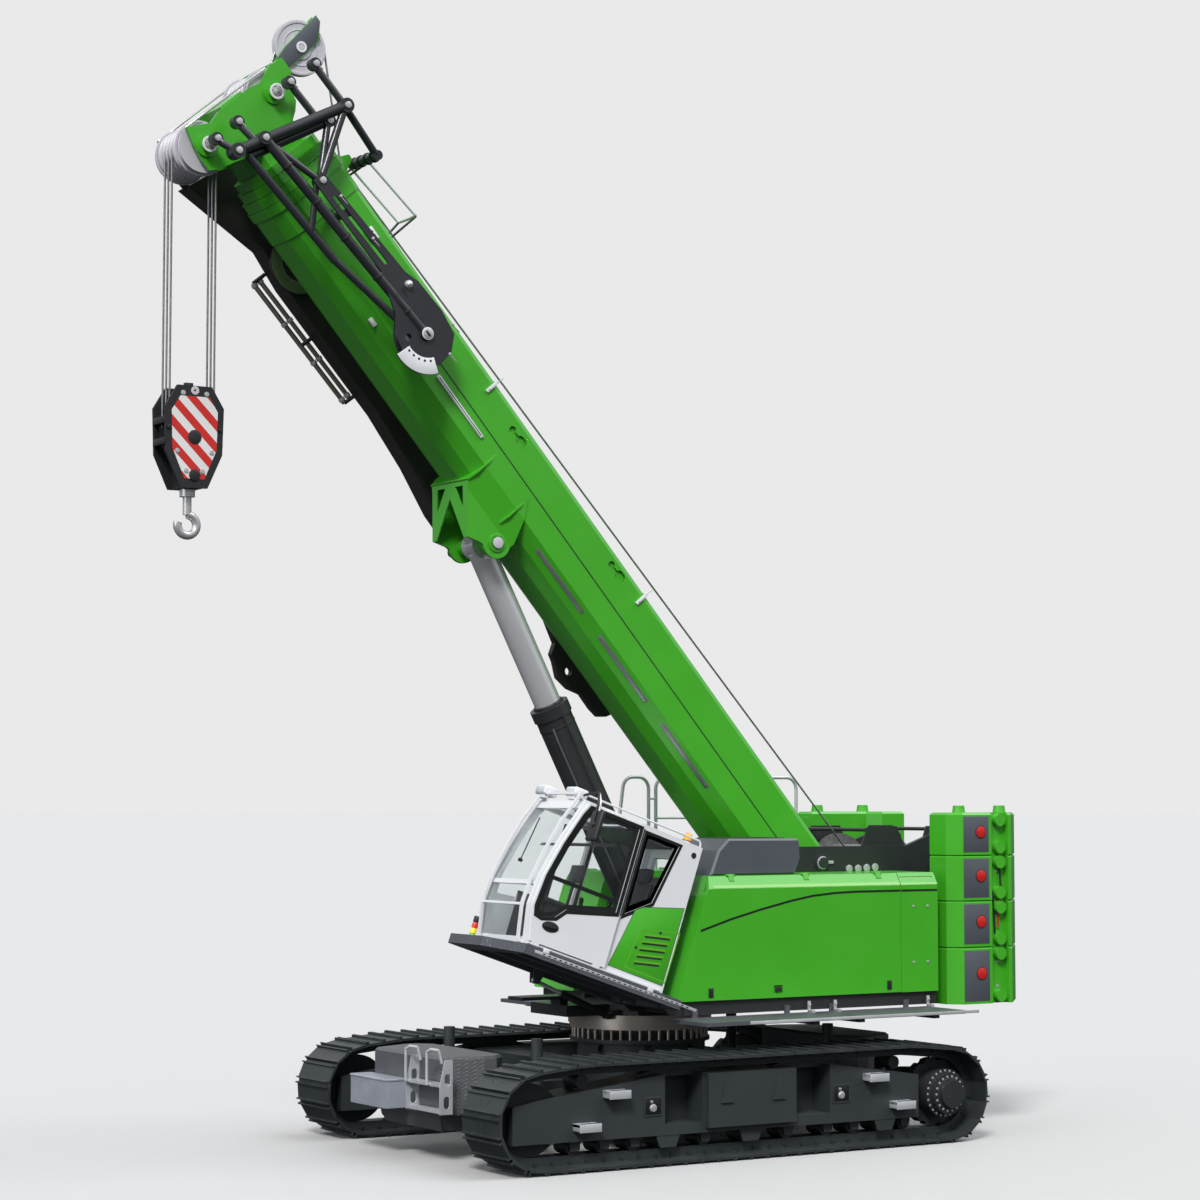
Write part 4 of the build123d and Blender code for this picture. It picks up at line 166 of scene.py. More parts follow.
def make_colour_drift():
    """A colour that drifts a little in large clouds and in fine specks."""
    inputs = [("Colour", "Color", (0.5, 0.5, 0.5, 1)), ("Drift", "Float", 0.08), ("Size", "Float", 1.5)]
    tree, ins, outs = group("colour drift", inputs, [("Colour", "Color"), ("Cloud", "Float")])
    place = add(tree, "TexCoord").outputs["Object"]
    cloud = add(tree, "TexNoise", links={"Vector": place, "Scale": ins.outputs["Size"]}, values={"Detail": 4.0})
    speck = add(tree, "TexNoise", links={"Vector": place}, values={"Scale": 140.0, "Detail": 2.0})
    both = total(tree, product(tree, cloud.outputs["Fac"], 0.8), product(tree, speck.outputs["Fac"], 0.2))
    swing = product(tree, math(tree, "SUBTRACT", both, 0.5), ins.outputs["Drift"])
    value = total(tree, 1.0, product(tree, swing, 4.0))
    out = add(tree, "HueSaturation", links={"Value": value, "Color": ins.outputs["Colour"]})
    tree.links.new(out.outputs[0], outs.inputs["Colour"])
    tree.links.new(cloud.outputs["Fac"], outs.inputs["Cloud"])
    return tree


def make_surface_grain():
    """Heights of the fine surface: orange peel in paint, sand in a casting."""
    inputs = [("Size", "Float", 220.0), ("Depth", "Float", 0.3)]
    tree, ins, outs = group("surface grain", inputs, [("Height", "Float")])
    place = add(tree, "TexCoord").outputs["Object"]
    fine = add(tree, "TexNoise", links={"Vector": place, "Scale": ins.outputs["Size"]}, values={"Detail": 3.0})
    broad = add(tree, "TexNoise", links={"Vector": place}, values={"Scale": 7.0, "Detail": 3.0})
    sum_ = total(tree, product(tree, fine.outputs["Fac"], 0.6), product(tree, broad.outputs["Fac"], 0.4))
    tree.links.new(product(tree, sum_, ins.outputs["Depth"]), outs.inputs["Height"])
    return tree


def make_tread_lugs():
    """Raised lozenges in crossing pairs, as rolled into tread plate."""
    tree, ins, outs = group("tread lugs", [("Pitch", "Float", 26.0)], [("Height", "Float")])
    place = add(tree, "TexCoord").outputs["Object"]
    split = add(tree, "SeparateXYZ", links={0: place})
    x, y, z = (split.outputs[k] for k in "XYZ")
    across = total(tree, x, product(tree, z, 0.9))
    first = product(tree, total(tree, across, y), ins.outputs["Pitch"])
    second = product(tree, math(tree, "SUBTRACT", across, y), ins.outputs["Pitch"])
    odd = math(tree, "MODULO", total(tree, math(tree, "FLOOR", first), math(tree, "FLOOR", second)), 2.0)
    odd = math(tree, "ABSOLUTE", odd)
    lean = [math(tree, "ABSOLUTE", math(tree, "SUBTRACT", math(tree, "FRACT", s), 0.5)) for s in (first, second)]
    long_ = total(tree, lean[0], product(tree, lean[1], 4.2))
    wide = total(tree, product(tree, lean[0], 4.2), lean[1])
    reach = total(tree, product(tree, odd, long_), product(tree, math(tree, "SUBTRACT", 1.0, odd), wide))
    tree.links.new(ramp(tree, reach, 0.45, 0.75, 1.0, 0.0), outs.inputs["Height"])
    return tree


edge_wear = make_edge_wear()
settled_dust = make_settled_dust()
colour_drift = make_colour_drift()
surface_grain = make_surface_grain()
tread_lugs = make_tread_lugs()
dust_colour = (0.36, 0.33, 0.29, 1)


def use(tree, group_tree, **values):
    """A shader group placed in a material with its own values."""
    made = tree.nodes.new("ShaderNodeGroup")
    made.node_tree = group_tree
    for label, value in values.items():
        made.inputs[label].default_value = value
    return made


def finish(name, colour, bare, rough, metal=0.0, coat=0.0, wear=0.35, width=0.006, dust=0.12, drift=0.06,
           cloud=1.5, grain=220.0, depth=0.3, bump=0.02, tread=0.0, glow=0.0):
    """A painted, plated or moulded surface with drifting colour, rubbed edges, dust and a fine grain."""
    made = bpy.data.materials.new(name)
    made.use_nodes = True
    tree = made.node_tree
    shader = tree.nodes["Principled BSDF"]
    base = use(tree, colour_drift, Colour=(*colour, 1), Drift=drift, Size=cloud)
    rubbed = use(tree, edge_wear, Width=width, Amount=wear)
    dusty = use(tree, settled_dust, Amount=dust)
    shown = mixed(tree, rubbed.outputs["Mask"], base.outputs["Colour"], (*bare, 1))
    shown = mixed(tree, dusty.outputs["Mask"], shown, dust_colour)
    tree.links.new(shown, shader.inputs["Base Color"])
    softer = product(tree, math(tree, "SUBTRACT", base.outputs["Cloud"], 0.5), 0.25)
    softer = total(tree, softer, product(tree, dusty.outputs["Mask"], 0.5))
    rough_out = total(tree, softer, rough, clamp=True)
    tree.links.new(rough_out, shader.inputs["Roughness"])
    height = use(tree, surface_grain, Size=grain, Depth=depth).outputs["Height"]
    if tread:
        height = total(tree, height, use(tree, tread_lugs, Pitch=tread).outputs[0])
    relief = add(tree, "Bump", links={"Height": height}, values={"Strength": 0.6, "Distance": bump})
    tree.links.new(relief.outputs[0], shader.inputs["Normal"])
    shader.inputs["Metallic"].default_value = metal
    shader.inputs["Coat Weight"].default_value = coat
    shader.inputs["Coat Roughness"].default_value = 0.08
    if glow:
        shader.inputs["Emission Color"].default_value = (*colour, 1)
        shader.inputs["Emission Strength"].default_value = glow
    return made


green_paint = finish("green enamel", (0.052, 0.415, 0.014), (0.16, 0.3, 0.1), 0.36, coat=0.35, wear=0.25,
                     bump=0.0006, drift=0.05)
# lime: a lighter copy of the green that paints a highlight, on the lit top chamfers of housings and hoods and on
# the lit louvre blades of the cab
painted_highlight_lime = finish("painted highlight lime", (0.12, 0.45, 0.02), (0.3, 0.4, 0.2), 0.32, coat=0.5, wear=0.2, bump=0.0006)
white_paint = finish("white enamel", (0.78, 0.8, 0.83), (0.35, 0.36, 0.38), 0.3, coat=0.5, wear=0.2, dust=0.06,
                     drift=0.02, bump=0.0005)
slate_paint = finish("slate enamel", (0.075, 0.085, 0.105), (0.3, 0.31, 0.33), 0.42, coat=0.2, wear=0.4,
                     bump=0.0008)
jib_paint = finish("graphite enamel", (0.024, 0.027, 0.034), (0.14, 0.15, 0.17), 0.36, coat=0.3, wear=0.35,
                   bump=0.0008, metal=0.15)
frame_paint = finish("undercarriage enamel", (0.03, 0.038, 0.041), (0.14, 0.15, 0.15), 0.45, wear=0.4, dust=0.1,
                     bump=0.0012)
deck_paint = finish("charcoal enamel", (0.018, 0.021, 0.023), (0.16, 0.17, 0.17), 0.45, coat=0.15, wear=0.4,
                    dust=0.12, bump=0.001)
dark_jib = finish("umber black enamel", (0.022, 0.02, 0.02), (0.12, 0.115, 0.11), 0.5, wear=0.3, dust=0.08,
                  bump=0.0012)
black_plastic = finish("black plastic", (0.014, 0.015, 0.018), (0.06, 0.06, 0.07), 0.48, wear=0.3, dust=0.08,
                       grain=420.0, bump=0.0008)
rubber = finish("black rubber", (0.011, 0.011, 0.012), (0.04, 0.04, 0.04), 0.62, wear=0.2, dust=0.12, grain=300.0,
                bump=0.001)
shoe_steel = finish("track shoe steel", (0.05, 0.062, 0.068), (0.3, 0.31, 0.32), 0.4, metal=0.5, wear=0.55,
                    width=0.01, dust=0.12, drift=0.12, cloud=5.0, grain=90.0, depth=0.7, bump=0.0025)
cast_steel = finish("cast steel", (0.035, 0.04, 0.043), (0.2, 0.2, 0.21), 0.45, metal=0.4, wear=0.45, dust=0.1,
                    drift=0.1, cloud=4.0, grain=120.0, depth=0.6, bump=0.002)
ring_steel = finish("turned ring steel", (0.5, 0.45, 0.4), (0.7, 0.66, 0.62), 0.34, metal=0.85, wear=0.4,
                    dust=0.08, drift=0.07, cloud=2.0, grain=70.0, bump=0.0008)
chrome = finish("hard chrome", (0.82, 0.83, 0.86), (0.95, 0.95, 0.96), 0.18, metal=0.55, wear=0.2, dust=0.03,
                drift=0.02, grain=300.0, depth=0.15, bump=0.0004)
pin_steel = finish("bright pin steel", (0.68, 0.68, 0.7), (0.85, 0.85, 0.86), 0.26, metal=0.6, wear=0.4, dust=0.04,
                   drift=0.05, grain=180.0, bump=0.0006)
sheave_grey = finish("cast polymer grey", (0.56, 0.55, 0.6), (0.66, 0.65, 0.66), 0.4, wear=0.3, dust=0.08,
                     drift=0.04, cloud=3.0, bump=0.0006)
zinc = finish("zinc plate", (0.6, 0.62, 0.65), (0.78, 0.79, 0.8), 0.36, metal=0.4, wear=0.4, dust=0.06, drift=0.1,
              cloud=9.0, grain=50.0, bump=0.0008)
tread_zinc = finish("zinc tread plate", (0.44, 0.47, 0.54), (0.7, 0.71, 0.73), 0.38, metal=0.4, wear=0.4, dust=0.1,
                    drift=0.1, cloud=6.0, tread=24.0, bump=0.003)
tread_dark = finish("grey tread plate", (0.1, 0.11, 0.13), (0.4, 0.41, 0.43), 0.42, metal=0.35, wear=0.6,
                    dust=0.16, drift=0.08, cloud=4.0, tread=20.0, bump=0.004)
tread_steel = finish("ballast tread plate", (0.12, 0.13, 0.14), (0.35, 0.36, 0.38), 0.42, metal=0.3, wear=0.4,
                     dust=0.15, drift=0.08, cloud=4.0, tread=28.0, bump=0.003)
signal_red = finish("red enamel", (0.6, 0.02, 0.015), (0.5, 0.3, 0.28), 0.32, coat=0.4, wear=0.3, bump=0.0005)
signal_white = finish("white film", (0.78, 0.78, 0.78), (0.5, 0.5, 0.5), 0.35, coat=0.2, wear=0.2, dust=0.05,
                      bump=0.0004)
reflector_red = finish("red reflector", (0.62, 0.012, 0.01), (0.7, 0.2, 0.2), 0.22, coat=0.8, wear=0.15,
                       drift=0.08, cloud=60.0, grain=500.0, bump=0.001)
amber = finish("amber lens", (0.95, 0.36, 0.01), (0.95, 0.5, 0.1), 0.2, coat=0.8, wear=0.1, dust=0.04, glow=0.25,
               bump=0.0005)
yellow_lens = finish("yellow lens", (0.9, 0.68, 0.02), (0.95, 0.8, 0.2), 0.2, coat=0.8, wear=0.1, dust=0.04,
                     glow=0.25, bump=0.0005)
green_lens = finish("green lens", (0.03, 0.55, 0.06), (0.2, 0.7, 0.2), 0.2, coat=0.8, wear=0.1, glow=0.2,
                    bump=0.0005)
red_lens = finish("red lens", (0.75, 0.02, 0.01), (0.8, 0.2, 0.2), 0.2, coat=0.8, wear=0.1, glow=0.2, bump=0.0005)
lamp_lens = finish("clear lamp lens", (0.75, 0.78, 0.82), (0.9, 0.9, 0.9), 0.12, metal=0.4, coat=1.0, wear=0.1,
                   dust=0.03, drift=0.12, cloud=40.0, bump=0.002)
engine_paint = finish("engine grey", (0.12, 0.125, 0.13), (0.3, 0.3, 0.3), 0.5, metal=0.3, wear=0.5, dust=0.2,
                      bump=0.0015)
cab_trim = finish("cab trim grey", (0.07, 0.075, 0.085), (0.25, 0.26, 0.28), 0.55, wear=0.15, dust=0.06,
                  grain=420.0, bump=0.0008)
seat_cloth = finish("woven seat cloth", (0.045, 0.05, 0.06), (0.09, 0.1, 0.11), 0.85, wear=0.25, dust=0.08,
                    drift=0.2, cloud=30.0, grain=700.0, depth=1.0, bump=0.0015)
rope_steel = finish("laid rope wire", (0.3, 0.3, 0.31), (0.6, 0.6, 0.62), 0.4, metal=0.85, wear=0.3, dust=0.08,
                    drift=0.3, cloud=30.0, grain=160.0, depth=1.0, bump=0.004)
black_line = finish("black line film", (0.008, 0.01, 0.01), (0.03, 0.03, 0.03), 0.35, coat=0.3, wear=0.1,
                    dust=0.03, bump=0.0003)
brushed = finish("brushed strip", (0.34, 0.35, 0.38), (0.6, 0.6, 0.62), 0.36, metal=0.7, wear=0.4, dust=0.06,
                 grain=120.0, bump=0.0006)


def glass(name, tint, rough):
    """A clear pane with faint smears."""
    made = bpy.data.materials.new(name)
    made.use_nodes = True
    tree = made.node_tree
    shader = tree.nodes["Principled BSDF"]
    base = use(tree, colour_drift, Colour=(*tint, 1), Drift=0.02, Size=3.0)
    tree.links.new(base.outputs["Colour"], shader.inputs["Base Color"])
    smear = use(tree, settled_dust, Amount=0.03)
    tree.links.new(total(tree, smear.outputs["Mask"], rough), shader.inputs["Roughness"])
    wave = use(tree, surface_grain, Size=3.0, Depth=0.1)
    relief = add(tree, "Bump", links={"Height": wave.outputs["Height"]},
                 values={"Strength": 0.1, "Distance": 0.001})
    tree.links.new(relief.outputs[0], shader.inputs["Normal"])
    shader.inputs["Transmission Weight"].default_value = 1.0
    shader.inputs["IOR"].default_value = 1.06
    shader.inputs["Coat Weight"].default_value = 0.15
    shader.inputs["Coat Roughness"].default_value = 0.02
    return made


window_glass = glass("window glass", (0.9, 0.93, 0.93), 0.0)

node_finishes = {
    "carbody": frame_paint, "ballast_front": tread_steel, "ballast_rear": tread_steel,
    "boarding_ladder": zinc, "toolbox": tread_zinc, "slewing_ring": ring_steel,
    "side_frame_left": frame_paint, "side_frame_right": frame_paint,
    "track_left": shoe_steel, "track_right": shoe_steel,
    "running_gear_left": cast_steel, "running_gear_right": cast_steel,
    "deck_frame": deck_paint, "housing_left": green_paint, "housing_right": green_paint,
    "intake_cover": slate_paint, "catwalk_left": tread_dark, "catwalk_right": tread_dark,
    "deck_rails": zinc, "counterweight_left": green_paint, "counterweight_right": green_paint,
    "engine_block": engine_paint, "fluid_tanks": engine_paint, "winch_guards": deck_paint,
    "winch_drum": rope_steel, "hood_left": green_paint, "hood_right": green_paint,
    "cab_platform": tread_dark, "cab_shell": white_paint, "cab_glazing": window_glass,
    "cab_interior": cab_trim, "cab_door": white_paint, "door_pane": window_glass,
    "cab_tilt_barrel": deck_paint, "cab_tilt_rod": chrome,
    "boom_base": green_paint, "jib_left": jib_paint, "jib_right": dark_jib,
    "boom_section_2": green_paint, "boom_section_3": green_paint, "boom_section_4": green_paint,
    "boom_section_5": green_paint, "head_sheaves": sheave_grey,
    "luff_rod": chrome, "luff_barrel": deck_paint, "hoist_ropes": rope_steel,
    "hook_block": black_plastic, "hook": pin_steel,
}
for name, material in node_finishes.items():
    for place in nodes[name].material_slots:
        place.material = material


# ---------------------------------------------------------------- ways of making a piece
def shown(name, mesh, body, material, slot, smooth=True):
    """The finished mesh as a named object that rides on its body."""
    made = bpy.data.objects.new(name, mesh)
    scene.collection.objects.link(made)
    mesh.materials.clear()
    mesh.materials.append(material)
    if smooth:
        mesh.shade_smooth()
        mesh.set_sharp_from_angle(angle=radians(32))
    if body:
        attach(made, body)
    return made


def piece(name, bm, body, material, slot, bevel=0.0, segments=2):
    """A bmesh finished as a piece, its sharp edges rounded where bevel says so."""
    bmesh.ops.recalc_face_normals(bm, faces=bm.faces)
    if bevel:
        sharp = [e for e in bm.edges if len(e.link_faces) == 2 and e.calc_face_angle() > radians(35)]
        bmesh.ops.bevel(bm, geom=sharp, offset=bevel, offset_type="OFFSET", segments=segments, profile=0.5,
                        affect="EDGES", material=-1, clamp_overlap=True)
    mesh = bpy.data.meshes.new(name)
    bm.to_mesh(mesh)
    bm.free()
    return shown(name, mesh, body, material, slot)


def block(bm, centre, size, turn=None):
    """A block of three sizes about its centre, turned with what it sits on."""
    place = Matrix.Translation(centre) @ (turn or Matrix()) @ Matrix.Diagonal((*size, 1))
    return bmesh.ops.create_cube(bm, size=1, matrix=place)["verts"]


def rod(bm, start, end, radius, tip=None, sides=20):
    """A round bar or a cone from one point to another."""
    start, end = Vector(start), Vector(end)
    axis = end - start
    place = Matrix.Translation((start + end) / 2) @ axis.to_track_quat("Z", "Y").to_matrix().to_4x4()
    made = bmesh.ops.create_cone(bm, cap_ends=True, segments=sides, radius1=radius,
                                 radius2=radius if tip is None else tip, depth=axis.length, matrix=place)
    return made["verts"]


def stud(bm, place, reach, radius, tip=None, sides=20):
    """A round bar across the machine, from a place on a side face."""
    place = Vector(place)
    rod(bm, place, place + Vector((0, reach, 0)), radius, tip, sides)


def post(bm, a, y, low, high, radius, tip=None, sides=20):
    """A round bar that stands upright in the tilted cab."""
    rod(bm, cab(a, y, low), cab(a, y, high), radius, tip, sides)


def ball(bm, centre, radius):
    """A ball about a point."""
    place = Matrix.Translation(centre)
    return bmesh.ops.create_uvsphere(bm, u_segments=20, v_segments=12, radius=radius, matrix=place)["verts"]


def extrude(bm, faces, way):
    """Faces drawn out into a solid by a vector."""
    grown = bmesh.ops.extrude_face_region(bm, geom=faces)["geom"]
    bmesh.ops.translate(bm, vec=Vector(way), verts=[v for v in grown if isinstance(v, bmesh.types.BMVert)])


def slab(bm, corners, thick):
    """A flat plate over its corners, drawn out by a vector."""
    extrude(bm, [bm.faces.new([bm.verts.new(c) for c in corners])], thick)


def pipes(name, runs, radius, body, material, slot, bend=0.06, closed=False):
    """Bent tubes: each run's corners are rounded by a control point on either side of them."""
    curve = bpy.data.curves.new(name, "CURVE")
    curve.dimensions = "3D"
    curve.bevel_depth = radius
    curve.bevel_resolution = 4
    curve.resolution_u = 8
    curve.use_fill_caps = True
    for run in runs:
        run = [Vector(p) for p in run]
        points = [run[0]]
        for before, corner, after in zip(run, run[1:], run[2:]):
            reach = min(bend, (corner - before).length / 2.1, (after - corner).length / 2.1)
            points += [corner + (before - corner).normalized() * reach, corner,
                       corner + (after - corner).normalized() * reach]
        points.append(run[-1])
        spline = curve.splines.new("NURBS")
        spline.points.add(len(points) - 1)
        for dot, p in zip(spline.points, points):
            dot.co = (*p, 1)
        spline.order_u = 3
        spline.use_endpoint_u = True
    holder = bpy.data.objects.new(name + " path", curve)
    scene.collection.objects.link(holder)
    bpy.context.view_layer.update()
    mesh = bpy.data.meshes.new_from_object(holder.evaluated_get(bpy.context.evaluated_depsgraph_get()))
    bpy.data.objects.remove(holder)
    bpy.data.curves.remove(curve)
    return shown(name, mesh, body, material, slot)


def bolts(name, places, outward, radius, body, material, slot="bright_steel", height=None):
    """Hexagon bolt heads on washers at places on a face that looks outward."""
    bm = bmesh.new()
    outward = Vector(outward).normalized()
    height = height or radius * 0.7
    for place in places:
        place = Vector(place)
        rod(bm, place, place + outward * height * 0.25, radius * 1.35, sides=16)
        rod(bm, place + outward * height * 0.2, place + outward * height, radius, sides=6)
    return piece(name, bm, body, material, slot)


# ---------------------------------------------------------------- shapes set on the boom and on the cab
def boom_block(bm, u, y, rise, size):
    """A block along the boom."""
    return block(bm, boom(u, y, rise), size, boom_turn)


def cab_block(bm, a, y, b, size):
    """A block along the tilted cab."""
    return block(bm, cab(a, y, b), size, cab_turn)


def plate_on(bm, place, corners, y, thick):
    """A plate with corners in the boom's or cab's side view, standing off y by thick."""
    slab(bm, [place(p, y, q) for p, q in corners], (0, thick, 0))


def frame_on(bm, place, outer, inner, y, thick):
    """A flat frame between two outlines with as many corners, standing off y by thick."""
    rings = []
    for corners in (outer, inner):
        made = [bm.verts.new(place(p, y, q)) for p, q in corners]
        rings.append([bm.edges.new((made[i - 1], made[i])) for i in range(len(made))])
    faces = bmesh.ops.bridge_loops(bm, edges=rings[0] + rings[1])["faces"]
    extrude(bm, faces, (0, thick, 0))


def disc(bm, centre, radius, thick, inner=0.0, sides=32):
    """A disc or a ring facing across the machine, its face at the centre's y plus thick."""
    centre = Vector(centre)
    start = bm.verts.new(centre + Vector((inner, 0, 0)))
    run = bmesh.ops.extrude_vert_indiv(bm, verts=[start])
    tip = run["verts"][0]
    tip.co = centre + Vector((radius, 0, 0))
    bmesh.ops.spin(bm, geom=[start, tip, run["edges"][0]], cent=centre, axis=(0, 1, 0), angle=2 * pi,
                   steps=sides, use_merge=True)
    bmesh.ops.remove_doubles(bm, verts=bm.verts[:], dist=1e-6)
    faces = [f for f in bm.faces
             if all((v.co - centre).length < radius + 1e-4 and abs(v.co.y - centre.y) < 1e-6 for v in f.verts)]
    extrude(bm, faces, (0, thick, 0))


# ---------------------------------------------------------------- boom
bm = bmesh.new()
for hand in (1, -1):
    boom_block(bm, 5.55, hand * 0.4515, -0.424, (9.3, 0.003, 0.011))
piece("boom_side_lines", bm, "boom", black_line, "trim")

bm = bmesh.new()
for hand in (1, -1):
    lean = boom_turn @ Matrix.Rotation(-hand * radians(131), 4, "X")
    for u, length in ((5.49, 0.88), (4.25, 0.94), (2.985, 0.93)):
        block(bm, boom(u, hand * 0.4045, -0.7545), (length, 0.045, 0.008), lean)
        for end in (-1, 1):
            centre = boom(u + end * (length / 2 - 0.04), hand * 0.4075, -0.757)
            rod(bm, centre, centre + lean.to_3x3() @ Vector((0, 0, 0.006)), 0.011, sides=12)
piece("boom_wear_strips", bm, "boom", brushed, "bright_steel", bevel=0.002)

brackets, bracket_pins = bmesh.new(), bmesh.new()
for hand in (1, -1):
    for u in (7.632, 4.696):
        boom_block(brackets, u, hand * 0.462, -0.085, (0.036, 0.024, 0.17))
        boom_block(brackets, u, hand * 0.44, 0.006, (0.036, 0.066, 0.012))
        rod(bracket_pins, boom(u, hand * 0.462, 0), boom(u - 0.02, hand * 0.462, 0.1), 0.004, sides=10)
        stud(bracket_pins, boom(u, hand * 0.474, -0.13), hand * 0.005, 0.008, sides=10)
piece("boom_cable_brackets", brackets, "boom", white_paint, "white_paint", bevel=0.004)
piece("boom_bracket_pins", bracket_pins, "boom", pin_steel, "bright_steel")

bm = bmesh.new()
boom_block(bm, 7.705, 0.463, -0.54, (0.83, 0.026, 0.042))
boom_block(bm, 9.73, 0.463, -0.21, (0.15, 0.026, 0.11))
boom_block(bm, 9.0, 0.395, -0.772, (0.1, 0.03, 0.05))
piece("boom_rest_rail", bm, "boom", white_paint, "white_paint", bevel=0.005)
# black strips in the rest rail's slots: painted shade for the dark inside of the slots
bm = bmesh.new()
boom_block(bm, 7.705, 0.4765, -0.54, (0.78, 0.002, 0.008))
for u in (9.705, 9.755):
    boom_block(bm, u, 0.4765, -0.21, (0.02, 0.002, 0.06))
piece("boom_rail_slot_shade", bm, "boom", black_line, "trim")

rail = [(10.303, -0.2, 0.415), (9.532, -0.2, 0.507), (9.532, 0.2, 0.507), (10.303, 0.2, 0.415)]
pipes("boom_top_rail", [[boom(*p) for p in rail + rail[:1]]], 0.017, "boom", white_paint, "white_paint")
pipes("boom_rail_posts", [[boom(9.5, y * 0.25, 0.0), boom(9.53, y, 0.5)] for y in (-0.2, 0.2)]
      + [[boom(10.33, y, 0.0), boom(10.303, y, 0.41)] for y in (-0.2, 0.2)], 0.013, "boom", dark_jib, "black_paint")


def luff_eye(y):
    """The luffing cylinder's pin in the boom, at a distance across the machine."""
    return boom(6.291, y, -1.1)


pin_faces, pin_rings = bmesh.new(), bmesh.new()
for hand in (1, -1):
    disc(pin_faces, luff_eye(hand * 0.417), 0.062, hand * 0.012)
    centre = luff_eye(hand * 0.392)
    disc(pin_rings, centre, 0.105, hand * 0.012, inner=0.066)
    for k in range(6):
        spot = centre + Vector((0.086 * cos(k * pi / 3), hand * 0.012, 0.086 * sin(k * pi / 3)))
        stud(pin_rings, spot, hand * 0.006, 0.007, sides=6)
piece("luff_pin_faces", pin_faces, "boom", sheave_grey, "bright_steel", bevel=0.002)
piece("luff_pin_rings", pin_rings, "boom", green_paint, "green_paint", bevel=0.002)

# hoist rope over the boom, from the winch to the guide, and on to the head's top sheave
bm = bmesh.new()
rod(bm, boom(0.42, 0.1, 0.43), boom(10.475, 0.1, 0.162), 0.011, sides=10)
lengthwise = [e for e in bm.edges if e.calc_length() > 1]
bmesh.ops.subdivide_edges(bm, edges=lengthwise, cuts=80, use_grid_fill=True)
hoist_rope = piece("hoist_rope_on_boom", bm, None, rope_steel, "galvanised")
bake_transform(hoist_rope)
bm = bmesh.new()
rod(bm, boom(10.45, 0.1, 0.162), boom(11.5, 0.1, 0.8), 0.011, sides=10)
rod(bm, boom(11.96, 0.1, 0.561), boom(11.63, 0.1, 0.02), 0.011, sides=10)
piece("hoist_rope_to_head", bm, "boom_head", rope_steel, "galvanised")

# ---------------------------------------------------------------- boom head
head_pin_u, head_pin_rises = 11.505, (-1.146, -0.155)
rings, nuts = bmesh.new(), bmesh.new()
for hand in (1, -1):
    for rise in head_pin_rises:
        centre = boom(head_pin_u, hand * 0.481, rise)
        disc(rings, centre, 0.085, hand * 0.01, inner=0.058)
        stud(nuts, centre, hand * 0.014, 0.056, sides=6)
        stud(nuts, centre + Vector((0, hand * 0.012, 0)), hand * 0.01, 0.022, sides=16)
    rod(nuts, boom(11.772, hand * 0.345, -1.2), boom(11.755, hand * 0.345, -0.04), 0.012, sides=12)
piece("head_pin_rings", rings, "boom_head", white_paint, "white_paint", bevel=0.002)
piece("head_pin_nuts", nuts, "boom_head", pin_steel, "bright_steel", bevel=0.003)

# ---------------------------------------------------------------- fly jibs
hub = (8.617, -0.556)            # the left jib's wheel, along the boom and above its top plate
bm = bmesh.new()
centre = boom(hub[0], 0.7665, hub[1])
disc(bm, centre, 0.275, 0.004, inner=0.07)
disc(bm, centre, 0.285, 0.01, inner=0.265)
disc(bm, centre, 0.155, 0.009, inner=0.135)
piece("jib_wheel_face", bm, "boom", brushed, "bright_steel", bevel=0.002)

bm = bmesh.new()
spoke = on_boom(cos(radians(202)), sin(radians(202)))
centre = boom(hub[0], 0.8365, hub[1])
low, high = bm.verts.new(centre + spoke * 0.254), bm.verts.new(centre + spoke * 0.428)
edge = bm.edges.new((low, high))
bmesh.ops.spin(bm, geom=[low, high, edge], cent=centre, axis=(0, -1, 0), angle=radians(74), steps=24)
extrude(bm, bm.faces[:], (0, 0.004, 0))
piece("jib_sector_face", bm, "boom", white_paint, "white_paint", bevel=0.0015)
# black discs and a bar on the white sector: painted shade for the dark inside of its holes and slot
bm = bmesh.new()
for k in range(5):
    turn = radians(212 + 14 * k)
    spot = boom(hub[0] + 0.288 * cos(turn), 0.8395, hub[1] + 0.288 * sin(turn))
    stud(bm, spot, 0.0016, 0.014, sides=16)
boom_block(bm, 9.1, 0.8235, -0.48, (0.1, 0.003, 0.018))
piece("jib_sector_hole_shade", bm, "boom", black_line, "trim")

bm = bmesh.new()
stud(bm, boom(hub[0], 0.855, hub[1]), 0.012, 0.058, sides=28)
centre = boom(9.141, 0.8, -0.391)
stud(bm, centre, 0.05, 0.043, sides=24)
ball(bm, centre + Vector((0, 0.045, 0)), 0.04)
for u, rise in ((11.5, 0.32), (11.515, -0.05), (11.52, -0.81), (11.52, -1.12)):
    centre = boom(u, 0.645, rise)
    stud(bm, centre, 0.03, 0.034)
    clip = centre + Vector((0, 0.02, 0))
    rod(bm, clip, clip + on_boom(-0.09, 0.02), 0.007, sides=8)
for u, y, rise in ((11.306, 0.775, -1.066), (11.24, 0.775, -0.731), (10.976, 0.755, 0.288), (10.96, 0.69, 0.046),
                   (10.544, 0.82, -0.504)):
    stud(bm, boom(u, y, rise), 0.022, 0.036)
for u, rise in ((8.508, -0.231), (8.29, -0.467), (10.3, -0.44), (9.75, -0.42)):
    centre = boom(u, 0.82, rise)
    stud(bm, centre, 0.014, 0.018, sides=6)
    rod(bm, centre, centre + on_boom(-0.11, 0.012), 0.006, sides=8)
piece("jib_pins", bm, "boom", pin_steel, "bright_steel", bevel=0.003)
bm = bmesh.new()
boom_block(bm, hub[0], 0.868, hub[1], (0.07, 0.006, 0.026))
piece("jib_hub_keeper", bm, "boom", black_plastic, "trim", bevel=0.002)
bm = bmesh.new()
disc(bm, boom(hub[0], 0.856, hub[1]), 0.068, 0.006, inner=0.03)
piece("jib_hub_ring", bm, "boom", white_paint, "white_paint", bevel=0.002)

